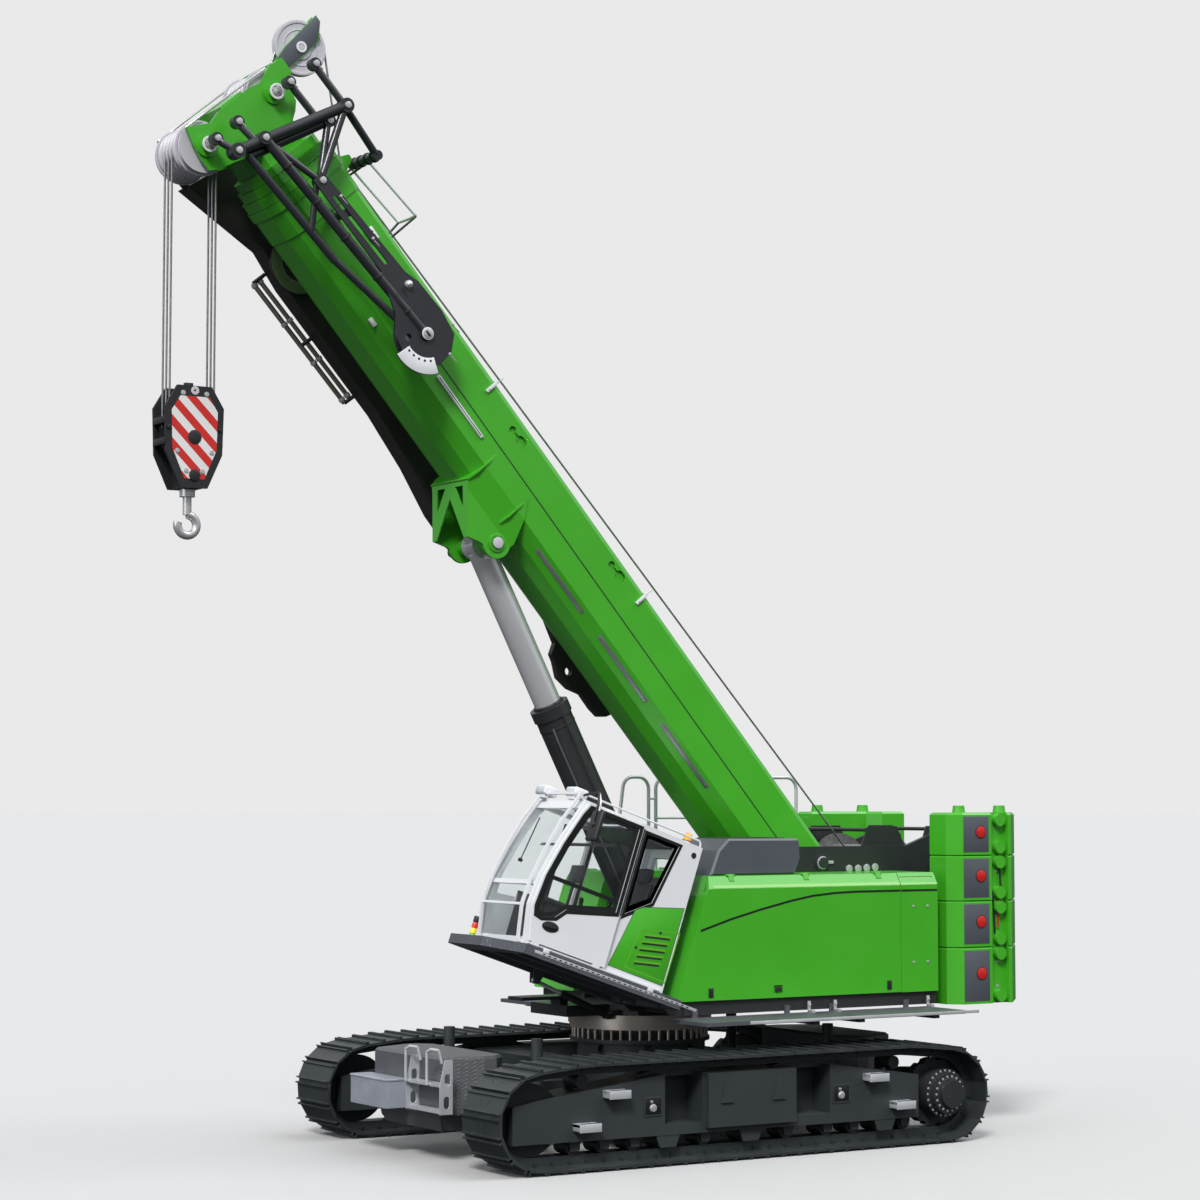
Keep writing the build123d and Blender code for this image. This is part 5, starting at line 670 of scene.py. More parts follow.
bm = bmesh.new()
for start, end, shares, half, radius in (
        (boom(hub[0], 0.8, hub[1]), boom(11.24, 0.72, -0.72), (0.12, 0.3, 0.5, 0.68, 0.86), 0.016, 0.0605),
        (boom(10.353, 0.6, 0.33), boom(10.353, -0.06, 0.366), (0.15, 0.38, 0.62, 0.85), 0.012, 0.066)):
    along = (end - start).normalized() * half
    for share in shares:
        spot = start.lerp(end, share)
        rod(bm, spot - along, spot + along, radius, sides=24)
piece("jib_tube_clamps", bm, "boom", dark_jib, "black_paint", bevel=0.003)

far_tubes = [(boom(9.919, -0.905, rise), boom(8.267, -0.905, rise + 0.045)) for rise in (-0.925, -1.01)]
bm = bmesh.new()
for start, end in far_tubes:
    rod(bm, start, end, 0.0275)
piece("far_jib_lines", bm, "boom", ring_steel, "bright_steel", bevel=0.002)
bm = bmesh.new()
for share in (0.02, 0.34, 0.66, 0.97):
    for start, end in far_tubes:
        spot = start.lerp(end, share)
        rod(bm, spot - on_boom(0.02, 0), spot + on_boom(0.02, 0), 0.037)
piece("far_jib_clamps", bm, "boom", zinc, "galvanised", bevel=0.003)
bm = bmesh.new()
centre = boom(9.817, -0.5895, -0.572)
disc(bm, centre, 0.333, 0.004, inner=0.2)
piece("far_jib_wheel_face", bm, "boom", ring_steel, "bright_steel", bevel=0.0015)

# ---------------------------------------------------------------- luffing cylinder
foot = Vector((-0.22, 0, 2.05))
luff_line = (luff_eye(0) - foot).normalized()
bm = bmesh.new()
rod(bm, foot + luff_line * 3.081, foot + luff_line * 3.112, 0.176, 0.166, sides=40)
for s in (0.55, 2.82):
    rod(bm, foot + luff_line * s, foot + luff_line * (s + 0.03), 0.2085, sides=48)
piece("luff_gland", bm, "luff_barrel", black_plastic, "trim", bevel=0.004)
across = Vector((0, 1, 0)).cross(luff_line).normalized()
line = [foot + luff_line * s + across * d + Vector((0, y, 0)) for s, d, y in
        ((0.42, 0.15, 0.15), (0.5, 0.165, 0.165), (2.7, 0.165, 0.165), (2.86, 0.15, 0.15))]
pipes("luff_line", [line], 0.012, "luff_barrel", slate_paint, "slate_paint", bend=0.08)

# ---------------------------------------------------------------- hook block
hook_x = 5.524                   # the hook hangs here, ahead of the slewing axis
block_face = 0.1705              # half width over the hook block's panels
panel = ((-0.11, 7.02), (0.11, 7.02), (0.245, 7.33), (0.255, 7.72), (0.16, 7.87), (-0.16, 7.87), (-0.255, 7.72),
         (-0.245, 7.33))


def striped_panel(name, y, hand, red, material, slot):
    """One colour's share of a panel in slanting stripes, cut off the whole panel by planes."""
    bm = bmesh.new()
    bm.faces.new([bm.verts.new((hook_x + x, y, z)) for x, z in panel])
    slope = Vector((hand, 0, -1)).normalized()
    pitch = 0.082
    origin = Vector((hook_x, y, 7.42))
    for k in range(-8, 9):
        bmesh.ops.bisect_plane(bm, geom=bm.faces[:] + bm.edges[:] + bm.verts[:],
                               plane_co=origin + slope * pitch * k,
                               plane_no=slope, dist=1e-6)
    other = [f for f in bm.faces
             if (int(((f.calc_center_median() - origin).dot(slope)) // pitch) % 2 == 0) != red]
    bmesh.ops.delete(bm, geom=other, context="FACES")
    extrude(bm, bm.faces[:], (0, hand * 0.003, 0))
    return piece(name, bm, "hook_block", material, slot)


for side_name, hand in (("near", 1), ("far", -1)):
    y = hand * block_face
    striped_panel(f"block_red_stripes_{side_name}", y, hand, True, signal_red, "trim")
    striped_panel(f"block_white_stripes_{side_name}", y, hand, False, signal_white, "white_paint")
bm = bmesh.new()
for hand in (1, -1):
    stud(bm, (hook_x, hand * 0.17, 7.45), hand * 0.0075, 0.075, sides=36)
    stud(bm, (hook_x, hand * 0.17, 7.06), hand * 0.015, 0.06, sides=24)
    for x in (-0.285, 0.285):
        stud(bm, (hook_x + x, hand * 0.17, 7.54), hand * 0.02, 0.022)
for x in (-0.3, 0.3):
    for z in (7.4, 7.62):
        block(bm, (hook_x + x, 0, z), (0.05, 0.3, 0.07))
block(bm, (hook_x, 0, 7.985), (0.09, 0.05, 0.09))
piece("block_bosses", bm, "hook_block", black_plastic, "black_paint", bevel=0.005)
places = [(-0.13, 7.9), (0.13, 7.9), (-0.19, 7.3), (0.19, 7.3), (-0.09, 7.1), (0.09, 7.1)]
for side_name, hand in (("near", 1), ("far", -1)):
    bolts(f"block_bolts_{side_name}", [(hook_x + x, hand * block_face, z) for x, z in places], (0, hand, 0), 0.02,
          "hook_block", pin_steel)
bm = bmesh.new()
for hand in (1, -1):
    disc(bm, (hook_x, hand * block_face, 7.93), 0.045, hand * 0.006, inner=0.012)
piece("block_top_discs", bm, "hook_block", sheave_grey, "galvanised", bevel=0.0015)

# ---------------------------------------------------------------- cab
seat_y = 0.985                   # the seat's middle across the machine
work_lamps = ((1.738, 0.602, 1.755), (1.606, 1.0, 1.779))
rear_panel = ((0.205, 0.116), (0.93, 0.125), (0.862, 0.43), (0.79, 0.77), (0.70, 0.83), (0.596, 0.862),
              (0.199, 0.978))
bm = bmesh.new()
plate_on(bm, cab, rear_panel, 1.4542, 0.0023)
piece("cab_rear_panel", bm, "cab", green_paint, "green_paint", bevel=0.0012)

bm = bmesh.new()
for k in range(5):
    centre = cab(0.427 + 0.01 * k, 1.4573, 0.574 - 0.076 * k)
    block(bm, centre, (0.32, 0.0012, 0.02), cab_turn @ Matrix.Rotation(radians(12), 4, "Y"))
for a, b in ((0.406, 0.638), (0.654, 0.40)):
    stud(bm, cab(a, 1.456, b), 0.0022, 0.016)
stud(bm, cab(0.265, 1.4545, 1.548), 0.003, 0.032, sides=24)
piece("cab_louvre_shadows", bm, "cab", black_plastic, "trim")
# the louvre blades and their frame in lime: painted highlight on their lit faces, over the painted shadows beneath
# them
bm = bmesh.new()
for k in range(5):
    centre = cab(0.427 + 0.01 * k, 1.4574, 0.5955 - 0.076 * k)
    block(bm, centre, (0.34, 0.0014, 0.02), cab_turn @ Matrix.Rotation(radians(12), 4, "Y"))
vent = ((0.178, 0.152), (0.729, 0.163), (0.655, 0.605), (0.165, 0.712))
inside = ((0.19, 0.163), (0.717, 0.174), (0.645, 0.597), (0.177, 0.698))
frame_on(bm, cab, vent, inside, 1.4566, 0.0015)
piece("cab_louvre_blades", bm, "cab", painted_highlight_lime, "green_paint")

bm = bmesh.new()
post(bm, 0.238, 1.2, 1.719, 1.768, 0.0475, 0.0475, sides=32)
ball(bm, cab(0.238, 1.2, 1.766), 0.0475)
piece("beacon_dome", bm, "cab", amber, "trim")
bm = bmesh.new()
post(bm, 0.238, 1.2, 1.712, 1.722, 0.054, sides=32)
post(bm, 0.238, 1.2, 1.655, 1.668, 0.056, sides=32)
piece("beacon_rings", bm, "cab", black_plastic, "trim", bevel=0.002)

# mirror: a rounded shell on a bent arm, its glass to the rear
bm = bmesh.new()
cab_block(bm, 1.722, 1.75, 1.392, (0.062, 0.206, 0.332))
piece("mirror_housing", bm, "cab", black_plastic, "black_paint", bevel=0.028, segments=4)
bm = bmesh.new()
cab_block(bm, 1.6895, 1.75, 1.392, (0.004, 0.15, 0.27))
piece("mirror_face", bm, "cab", chrome, "bright_steel", bevel=0.0015)
bm = bmesh.new()
rod(bm, cab(1.748, 1.75, 1.40), cab(1.77, 1.75, 1.40), 0.034, 0.026)
piece("mirror_joint", bm, "cab", black_plastic, "black_paint", bevel=0.003)
pipes("mirror_arm", [[cab(1.752, 1.40, 1.722), cab(1.752, 1.69, 1.75), cab(1.762, 1.75, 1.62),
                      cab(1.762, 1.75, 1.4)]], 0.0135, "cab",
      black_plastic, "black_paint", bend=0.05)

for number, (a, y, b) in enumerate(work_lamps):
    bm = bmesh.new()
    cab_block(bm, a + 0.077, y, b - 0.005, (0.006, 0.122, 0.05))
    piece(f"work_lamp_lens_{number}", bm, "cab", lamp_lens, "glazing", bevel=0.002)
    bm = bmesh.new()
    for side in (-1, 1):
        cab_block(bm, a + 0.079, y + side * 0.066, b - 0.005, (0.008, 0.01, 0.062))
    for k in (-1, 0, 1):
        cab_block(bm, a - 0.02 + 0.018 * k, y, b + 0.036, (0.006, 0.13, 0.008))
    piece(f"work_lamp_ribs_{number}", bm, "cab", black_plastic, "trim", bevel=0.0015)

bm = bmesh.new()
cab_block(bm, 1.345, 1.468, 1.645, (0.22, 0.022, 0.034))
for a in (1.26, 1.43):
    cab_block(bm, a, 1.46, 1.617, (0.016, 0.012, 0.04))
piece("roof_edge_bracket", bm, "cab", white_paint, "white_paint", bevel=0.004)

# column of signal lamps on the front corner
bm = bmesh.new()
post(bm, 2.04, 0.46, 0.198, 0.262, 0.034, sides=24)
post(bm, 2.04, 0.46, -0.03, 0.2, 0.02, sides=16)
piece("signal_column_body", bm, "cab", black_plastic, "trim", bevel=0.004)
for lamp_name, low, tone_of in (("green", 0.012, green_lens), ("yellow", 0.074, yellow_lens),
                                ("red", 0.136, red_lens)):
    bm = bmesh.new()
    post(bm, 2.04, 0.46, low, low + 0.056, 0.0335, sides=24)
    piece(f"signal_lamp_{lamp_name}", bm, "cab", tone_of, "trim", bevel=0.003)

# wiper
bm = bmesh.new()
rod(bm, cab(1.952, 0.84, 0.93), cab(1.905, 0.9, 1.42), 0.007, sides=10)
rod(bm, cab(1.932, 0.84, 0.93), cab(1.972, 0.84, 0.93), 0.02, sides=16)
piece("wiper_arm", bm, "cab", black_plastic, "trim")

# inside of the cab
bm = bmesh.new()
cab_block(bm, 0.79, seat_y, 0.215, (0.46, 0.36, 0.05))
for lift in (0.245, 0.275, 0.305):
    cab_block(bm, 0.79, seat_y, lift, (0.40, 0.34, 0.018))
post(bm, 0.79, 0.985, 0.09, 0.2, 0.085, 0.07, sides=32)
for hand in (-1, 1):
    cab_block(bm, 0.8, seat_y + hand * 0.2, 0.235, (0.5, 0.03, 0.03))
piece("seat_base", bm, "cab", black_plastic, "black_paint", bevel=0.006)


def cushion(name, centre, size, lean, puff, dents=()):
    """A sewn pad: a rounded box, drawn in at its corners, remeshed and blown up with cloth pressure."""
    bm = bmesh.new()
    block(bm, (0, 0, 0), size)
    bmesh.ops.subdivide_edges(bm, edges=bm.edges[:], cuts=7, use_grid_fill=True)
    half = Vector(size) / 2
    for v in bm.verts:
        rim = [abs(v.co[i]) / half[i] for i in range(3)]
        pull = 1 - 0.09 * max(0, rim[0] + rim[1] + rim[2] - 2)
        v.co *= pull
        for axis, at, wide, deep in dents:
            if abs(v.co[axis] - at) < wide and rim[(axis + 1) % 3] < 0.8:
                v.co *= 1 - deep
    bmesh.ops.recalc_face_normals(bm, faces=bm.faces)
    mesh = bpy.data.meshes.new(name)
    bm.to_mesh(mesh)
    bm.free()
    made = bpy.data.objects.new(name, mesh)
    scene.collection.objects.link(made)
    remesh = made.modifiers.new("even mesh", "REMESH")
    remesh.mode = "VOXEL"
    remesh.voxel_size = 0.006
    bpy.context.view_layer.update()
    even = bpy.data.meshes.new_from_object(made.evaluated_get(bpy.context.evaluated_depsgraph_get()))
    made.modifiers.clear()
    made.data = even
    cloth = made.modifiers.new("blown up", "CLOTH")
    cloth.settings.use_pressure = True
    cloth.settings.uniform_pressure_force = puff
    cloth.settings.effector_weights.gravity = 0
    cloth.settings.quality = 6
    for number in range(1, 21):
        scene.frame_set(number)
    blown = bpy.data.meshes.new_from_object(made.evaluated_get(bpy.context.evaluated_depsgraph_get()))
    scene.frame_set(1)
    made.modifiers.clear()
    made.data = blown
    final = made.data
    bpy.data.objects.remove(made)
    seated = Matrix.Translation(centre) @ cab_turn @ Matrix.Rotation(lean, 4, "Y")
    low = [min(v.co[i] for v in final.vertices) for i in range(3)]
    high = [max(v.co[i] for v in final.vertices) for i in range(3)]
    fit = Matrix.Diagonal((*[size[i] / (high[i] - low[i]) for i in range(3)], 1))
    final.transform(seated @ fit)
    return final


def pad(name, centre, size, lean=0.0, puff=4.0, dents=()):
    """A cushion shown as a piece of padded cloth."""
    made = shown(name, cushion(name, centre, size, lean, puff, dents), "cab", seat_cloth, "trim")
    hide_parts("cab_interior")
    return made


pad("seat_cushion", cab(0.79, seat_y, 0.39), (0.52, 0.5, 0.14), dents=((1, -0.15, 0.014, 0.05),
                                                                       (1, 0.15, 0.014, 0.05)))
pad("seat_back", cab(0.548, seat_y, 0.79), (0.13, 0.48, 0.72), lean=radians(-6),
    dents=((2, 0.1, 0.014, 0.06), (2, -0.14, 0.014, 0.06)))
pad("seat_headrest", cab(0.5, seat_y, 1.23), (0.09, 0.27, 0.17), lean=radians(-6))
bm = bmesh.new()
for y in (0.93, 1.04):
    rod(bm, cab(0.51, y, 1.1), cab(0.5, y, 1.2), 0.008, sides=12)
for y in (0.7, 1.27):
    cab_block(bm, 0.83, y, 0.56, (0.42, 0.11, 0.05))
    cab_block(bm, 0.86, y, 0.42, (0.2, 0.07, 0.26))
    cab_block(bm, 1.0, y, 0.592, (0.1, 0.085, 0.02))
piece("seat_consoles", bm, "cab", cab_trim, "trim", bevel=0.01, segments=3)
bm = bmesh.new()
for y in (0.7, 1.27):
    rod(bm, cab(0.98, y, 0.595), cab(0.993, y, 0.65), 0.034, 0.014)
    rod(bm, cab(0.993, y, 0.65), cab(1.0, y, 0.72), 0.011, sides=14)
    rod(bm, cab(0.998, y, 0.70), cab(1.01, y, 0.79), 0.02, 0.026)
    ball(bm, cab(1.011, y, 0.79), 0.0255)
piece("control_levers", bm, "cab", rubber, "trim")
bm = bmesh.new()
cab_block(bm, 1.43, 1.17, 0.95, (0.035, 0.26, 0.19))
rod(bm, cab(1.46, 1.2, 0.2), cab(1.44, 1.17, 0.9), 0.017, sides=16)
cab_block(bm, 1.5, seat_y, 0.14, (0.14, 0.3, 0.02))
for y in (0.9, 1.07):
    block(bm, cab(1.46, y, 0.2), (0.16, 0.09, 0.015), cab_turn @ Matrix.Rotation(radians(-32), 4, "Y"))
    rod(bm, cab(1.52, y, 0.14), cab(1.5, y, 0.42), 0.011, sides=12)
    ball(bm, cab(1.5, y, 0.42), 0.024)
piece("cab_display_and_pedals", bm, "cab", black_plastic, "trim", bevel=0.006)
bm = bmesh.new()
cab_block(bm, 1.411, 1.17, 0.952, (0.003, 0.235, 0.155))
piece("display_face", bm, "cab", slate_paint, "trim", bevel=0.001)
bm = bmesh.new()
cab_block(bm, 1.05, 0.98, 0.092, (1.5, 0.8, 0.008))
for k in range(9):
    cab_block(bm, 0.45 + 0.15 * k, 0.98, 0.0985, (0.02, 0.72, 0.006))
piece("cab_floor_mat", bm, "cab", rubber, "trim", bevel=0.001)

# ---------------------------------------------------------------- housings and deck
def world_place(x, y, z):
    """A place in the machine's own frame, for outlines drawn in its side view."""
    return Vector((x, y, z))


def band(corners, half):
    """The two edges of a strip that follows a line of corners."""
    upper, lower = [], []
    for i, (x, z) in enumerate(corners):
        before, after = corners[max(i - 1, 0)], corners[min(i + 1, len(corners) - 1)]
        along = Vector((after[0] - before[0], after[1] - before[1])).normalized()
        upper.append((x - along.y * half, z + along.x * half))
        lower.append((x + along.y * half, z - along.x * half))
    return upper, lower


hood_rear = -2.519
sweep_line = [(0.19, 2.347), (-0.2, 2.462), (-0.6, 2.56), (-1.0, 2.645), (-1.3, 2.695), (-1.6, 2.72), (-1.9, 2.73),
              (hood_rear, 2.731)]
rear_line = [(-2.531, 2.731), (-3.045, 2.73)]
for side_name, hand in sides:
    for part_name, body, corners in (("hood", f"hood_{side_name}", sweep_line),
                                     ("housing", "upper_deck", rear_line)):
        upper, lower = band(corners, 0.011)
        bm = bmesh.new()
        for (a, b), (c, d) in zip(zip(upper, upper[1:]), zip(lower, lower[1:])):
            slab(bm, [world_place(x, hand * 1.5005, z) for x, z in (a, b, d, c)], (0, hand * 0.002, 0))
        bmesh.ops.remove_doubles(bm, verts=bm.verts[:], dist=1e-5)
        piece(f"{part_name}_line_{side_name}", bm, body, black_line, "trim")
    # lime strips on the top chamfers: painted highlight, the overhead light caught on the green
    for part_name, body, rear, front in (("hood", f"hood_{side_name}", hood_rear, 0.02),
                                         ("housing", "upper_deck", -3.045, -2.531)):
        bm = bmesh.new()
        slab(bm, [(rear, hand * 1.4975, 2.794), (front, hand * 1.4975, 2.794), (front, hand * 1.4055, 2.922),
                  (rear, hand * 1.4055, 2.922)],
             (0, hand * 0.0025, 0.0018))
        piece(f"{part_name}_top_edge_highlight_{side_name}", bm, body, painted_highlight_lime, "green_paint")
    bm = bmesh.new()
    for x, z in ((0.06, 1.683), (-2.352, 1.685)):
        block(bm, (x, hand * 1.5045, z), (0.06, 0.009, 0.1))
        stud(bm, (x, hand * 1.505, z + 0.018), hand * 0.01, 0.013)
    block(bm, (-0.829, hand * 1.5015, 1.69), (0.09, 0.004, 0.05))
    piece(f"hood_latches_{side_name}", bm, f"hood_{side_name}", black_plastic, "trim", bevel=0.003)
    bolts(f"housing_bolts_{side_name}", [(x, hand * 1.5, z) for x in (-2.705, -2.904) for z in (2.55, 1.925)],
          (0, hand, 0), 0.013,
          "upper_deck", pin_steel)
    bm = bmesh.new()
    for x in (-1.23, -1.585, -2.886):
        block(bm, (x, hand * 1.56, 1.44), (0.035, 0.1, 0.03))
        block(bm, (x, hand * 1.515, 1.5), (0.035, 0.02, 0.1))
        stud(bm, (x, hand * 1.525, 1.51), hand * 0.015, 0.016, sides=6)
    piece(f"catwalk_brackets_{side_name}", bm, "upper_deck", pin_steel, "bright_steel", bevel=0.003)

# intake cover: slats on its top
bm = bmesh.new()
for k in range(14):
    block(bm, (-0.3 - 0.06 * k, 0.995, 3.3285), (0.012, 0.56, 0.008))
piece("intake_top_slats", bm, "upper_deck", deck_paint, "slate_paint", bevel=0.002)

# caps of the pins in the deck plates by the boom's foot
bm = bmesh.new()
for hand in (1, -1):
    for x, z in ((-2.464, 2.956), (-2.593, 2.955), (-2.716, 2.961), (-2.839, 2.968)):
        stud(bm, (x, hand * 0.617, z), hand * 0.015, 0.046, sides=28)
    centre = Vector((-2.08, hand * 0.62, 3.03))
    stud(bm, centre, hand * 0.02, 0.075, sides=36)
    block(bm, centre + Vector((-0.09, hand * 0.016, 0.005)), (0.12, 0.014, 0.035))
piece("deck_pin_caps", bm, "upper_deck", pin_steel, "bright_steel", bevel=0.003)

# bolts of the lashing bosses
bm = bmesh.new()
for hand in (1, -1):
    for z in (3.45, 3.25, 2.93, 2.73, 2.43, 2.2, 1.9, 1.62):
        stud(bm, (-3.91, hand * 1.5, z), hand * 0.01, 0.02, sides=6)
piece("lashing_bolts", bm, "upper_deck", pin_steel, "bright_steel")

# ---------------------------------------------------------------- turntable and carbody
bm = bmesh.new()
for k in range(44):
    turn = 2 * pi * k / 44
    x, y = 0.745 * cos(turn), 0.745 * sin(turn)
    rod(bm, (x, y, 1.262), (x, y, 1.284), 0.021, sides=6)
    rod(bm, (x, y, 1.25), (x, y, 1.264), 0.012, sides=12)
piece("ring_bolts", bm, "undercarriage", pin_steel, "bright_steel")

# rows of bolts under the rollers, in pairs
bm = bmesh.new()
for hand in (1, -1):
    for x in (1.752, 1.381, 1.016, 0.506, -0.027, -0.558, -1.08, -1.439, -1.802):
        for dx in (-0.055, 0.055):
            stud(bm, (x + dx, hand * 2.03, 0.335), hand * 0.015, 0.015, sides=6)
piece("roller_bolts", bm, "undercarriage", pin_steel, "bright_steel")

# ---------------------------------------------------------------- track links
end_x, end_radius, top_half, top_height, pin_drop = 2.62, 0.53, 2.115, 1.112, 0.09


def loop_point(share):
    """A link pin's place on the track's loop at a share of its length."""
    r, top = end_radius - pin_drop, top_height - pin_drop
    lift = atan2(top - end_radius, end_x - top_half)
    away = ((end_x - top_half) ** 2 + (top - end_radius) ** 2) ** 0.5
    turn = pi - lift - atan2((away ** 2 - r ** 2) ** 0.5, r)
    touch = (end_x + r * cos(turn), end_radius + r * sin(turn))
    slope = ((touch[0] - top_half) ** 2 + (top - touch[1]) ** 2) ** 0.5
    arc = r * (turn + pi / 2)
    rows = (("line", (-end_x, end_radius - r), (end_x, end_radius - r), 2 * end_x),
            ("arc", (end_x, end_radius), -pi / 2, arc),
            ("line", touch, (top_half, top), slope),
            ("line", (top_half, top), (-top_half, top), 2 * top_half),
            ("line", (-top_half, top), (-touch[0], touch[1]), slope),
            ("arc", (-end_x, end_radius), pi - turn, arc))
    left = share * sum(row[3] for row in rows)
    for kind, a, b, length in rows:
        if left > length:
            left -= length
        elif kind == "line":
            return Vector((a[0] + (b[0] - a[0]) * left / length, 0, a[1] + (b[1] - a[1]) * left / length))
        else:
            return Vector((a[0] + r * cos(b + left / r), 0, a[1] + r * sin(b + left / r)))
    return Vector((-end_x, 0, end_radius - r))


shoe_count, link_half, gauge_half = 64, 0.115, 1.8875
pins = [loop_point(k / shoe_count) for k in range(shoe_count)]
for side_name, hand in sides:
    bm = bmesh.new()
    for k, pin in enumerate(pins):
        for side in (-1, 1):
            y = hand * gauge_half + side * link_half
            rod(bm, pin + Vector((0, y, 0)), pin + Vector((0, y + side * 0.014, 0)), 0.02, sides=14)
    piece(f"link_pins_{side_name}", bm, "undercarriage", cast_steel, "track_steel")
    bm = bmesh.new()
    for here, there in zip(pins, pins[1:] + pins[:1]):
        along = (there - here).normalized()
        out = along.cross(Vector((0, 1, 0)))
        middle = (here + there) / 2
        away = middle - Vector((max(-2.1, min(2.1, middle.x)), 0, 0.55))
        if out.dot(away) < 0:
            out = -out
        for y in (-0.085, -0.05, 0.05, 0.085):
            lead = 0.018 if abs(y) > 0.06 else -0.018
            head = middle + out * 0.052 + along * lead + Vector((0, hand * gauge_half + y, 0))
            rod(bm, head, head + out * 0.012, 0.013, sides=6)
    piece(f"shoe_bolts_{side_name}", bm, "undercarriage", cast_steel, "track_steel")

# ---------------------------------------------------------------- dark frames round the cab's glass
door_window = ((1.035, 0.665), (1.63, 0.505), (1.73, 0.395), (1.89, 0.345), (1.955, 0.365), (1.975, 0.441),
               (1.943, 0.76),
               (1.845, 1.14), (1.716, 1.5), (1.662, 1.59), (1.035, 1.59))
door_rim = ((0.992, 0.632), (1.61, 0.466), (1.705, 0.36), (1.885, 0.308), (1.985, 0.33), (2.012, 0.438),
            (1.98, 0.768),
            (1.88, 1.15), (1.752, 1.515), (1.69, 1.628), (0.992, 1.628))
door_inner = ((1.085, 0.705), (1.65, 0.555), (1.755, 0.445), (1.885, 0.395), (1.925, 0.405), (1.935, 0.446),
              (1.902, 0.75),
              (1.805, 1.125), (1.68, 1.475), (1.634, 1.545), (1.085, 1.545))
rear_window = ((0.47, 1.58), (0.612, 0.905), (0.905, 0.69), (0.905, 1.58))
rear_rim = ((0.432, 1.61), (0.58, 0.882), (0.935, 0.622), (0.935, 1.61))
rear_inner = ((0.522, 1.54), (0.652, 0.945), (0.87, 0.79), (0.87, 1.54))
bm = bmesh.new()
frame_on(bm, cab, door_rim, door_window, 1.5003, 0.002)
piece("door_window_seal", bm, "cab_door", black_line, "trim")
bm = bmesh.new()
frame_on(bm, cab, door_window, door_inner, 1.487, 0.0035)
cab_block(bm, 1.51, 1.489, 0.775, (0.86, 0.004, 0.045))
piece("door_window_border", bm, "cab_door", black_line, "trim")
bm = bmesh.new()
frame_on(bm, cab, rear_rim, rear_window, 1.4543, 0.002)
plate_on(bm, cab, ((0.94, 0.66), (0.982, 0.64), (0.982, 1.62), (0.94, 1.62)), 1.4543, 0.002)
piece("rear_window_seal", bm, "cab", black_line, "trim")
bm = bmesh.new()
frame_on(bm, cab, rear_window, rear_inner, 1.4405, 0.0035)
piece("rear_window_border", bm, "cab", black_line, "trim")
bm = bmesh.new()
handle = cab(1.756, 1.5, 0.278)
oval = cab_turn @ Matrix.Rotation(radians(4), 4, "Y")
ring = bmesh.ops.create_circle(bm, cap_ends=True, segments=40, radius=1)
flat = Matrix.Rotation(radians(90), 4, "X") @ Matrix.Diagonal((0.104, 0.056, 1, 1))
bmesh.ops.transform(bm, verts=ring["verts"], matrix=Matrix.Translation(handle) @ oval @ flat)
extrude(bm, bm.faces[:], (0, 0.004, 0))
block(bm, handle + Vector((0, 0.009, 0)), (0.17, 0.014, 0.026), oval)
piece("door_handle", bm, "cab_door", black_plastic, "trim", bevel=0.002)

# bent edge and treads of the platform round the cab
bm = bmesh.new()
cab_block(bm, 0.95, 1.752, -0.045, (2.1, 0.003, 0.03))
piece("platform_edge", bm, "cab", zinc, "galvanised", bevel=0.001)
bm = bmesh.new()
for a in (1.869, 0.524):
    cab_block(bm, a, 1.753, -0.005, (0.075, 0.008, 0.045))
piece("platform_clips", bm, "cab", white_paint, "white_paint", bevel=0.002)

# ---------------------------------------------------------------- counterweight panels in dark grey
levels = (1.43, 2.078, 2.604, 3.12, 3.6)
panels, reflectors, rims = bmesh.new(), bmesh.new(), bmesh.new()
for hand in (1, -1):
    for low, high in zip(levels, levels[1:]):
        middle = (low + high) / 2
        block(panels, (-3.56, hand * 1.5712, middle - 0.006), (0.37, 0.003, high - low - 0.075))
        spot = (-3.625, hand * 1.573, middle + 0.02)
        stud(reflectors, spot, hand * 0.008, 0.066, sides=36)
        disc(rims, spot, 0.075, hand * 0.005, inner=0.066)
piece("counterweight_panels", panels, "upper_deck", slate_paint, "slate_paint", bevel=0.001)
piece("reflectors", reflectors, "upper_deck", reflector_red, "trim", bevel=0.002)
piece("reflector_rims", rims, "upper_deck", black_plastic, "trim", bevel=0.001)

# ---------------------------------------------------------------- chain slings in the recesses, one red
def chain(name, start, end, count, size, material, body="upper_deck"):
    """A hanging chain of round links, every other one turned."""
    bm = bmesh.new()
    start, end = Vector(start), Vector(end)
    along = (end - start).normalized()
    for k in range(count):
        spot = start.lerp(end, (k + 0.5) / count)
        turn = along.to_track_quat("Z", "Y").to_matrix().to_4x4() @ Matrix.Rotation(radians(90 * (k % 2)), 4, "Z")
        corners = [spot + turn @ Vector((cos(t) * size * 0.55, 0, sin(t) * size))
                   for t in [2 * pi * i / 10 for i in range(10)]]
        for a, b in zip(corners, corners[1:] + corners[:1]):
            rod(bm, a, b, size * 0.2, sides=6)
    return piece(name, bm, body, material, "black_paint")


chain("sling_black_upper", (-3.93, 1.53, 3.05), (-3.95, 1.53, 2.75), 12, 0.022, black_plastic)
chain("sling_black_lower", (-3.83, 1.53, 2.7), (-3.86, 1.53, 2.2), 20, 0.022, black_plastic)
chain("sling_red", (-3.94, 1.53, 2.75), (-3.9, 1.53, 2.3), 18, 0.022, signal_red)

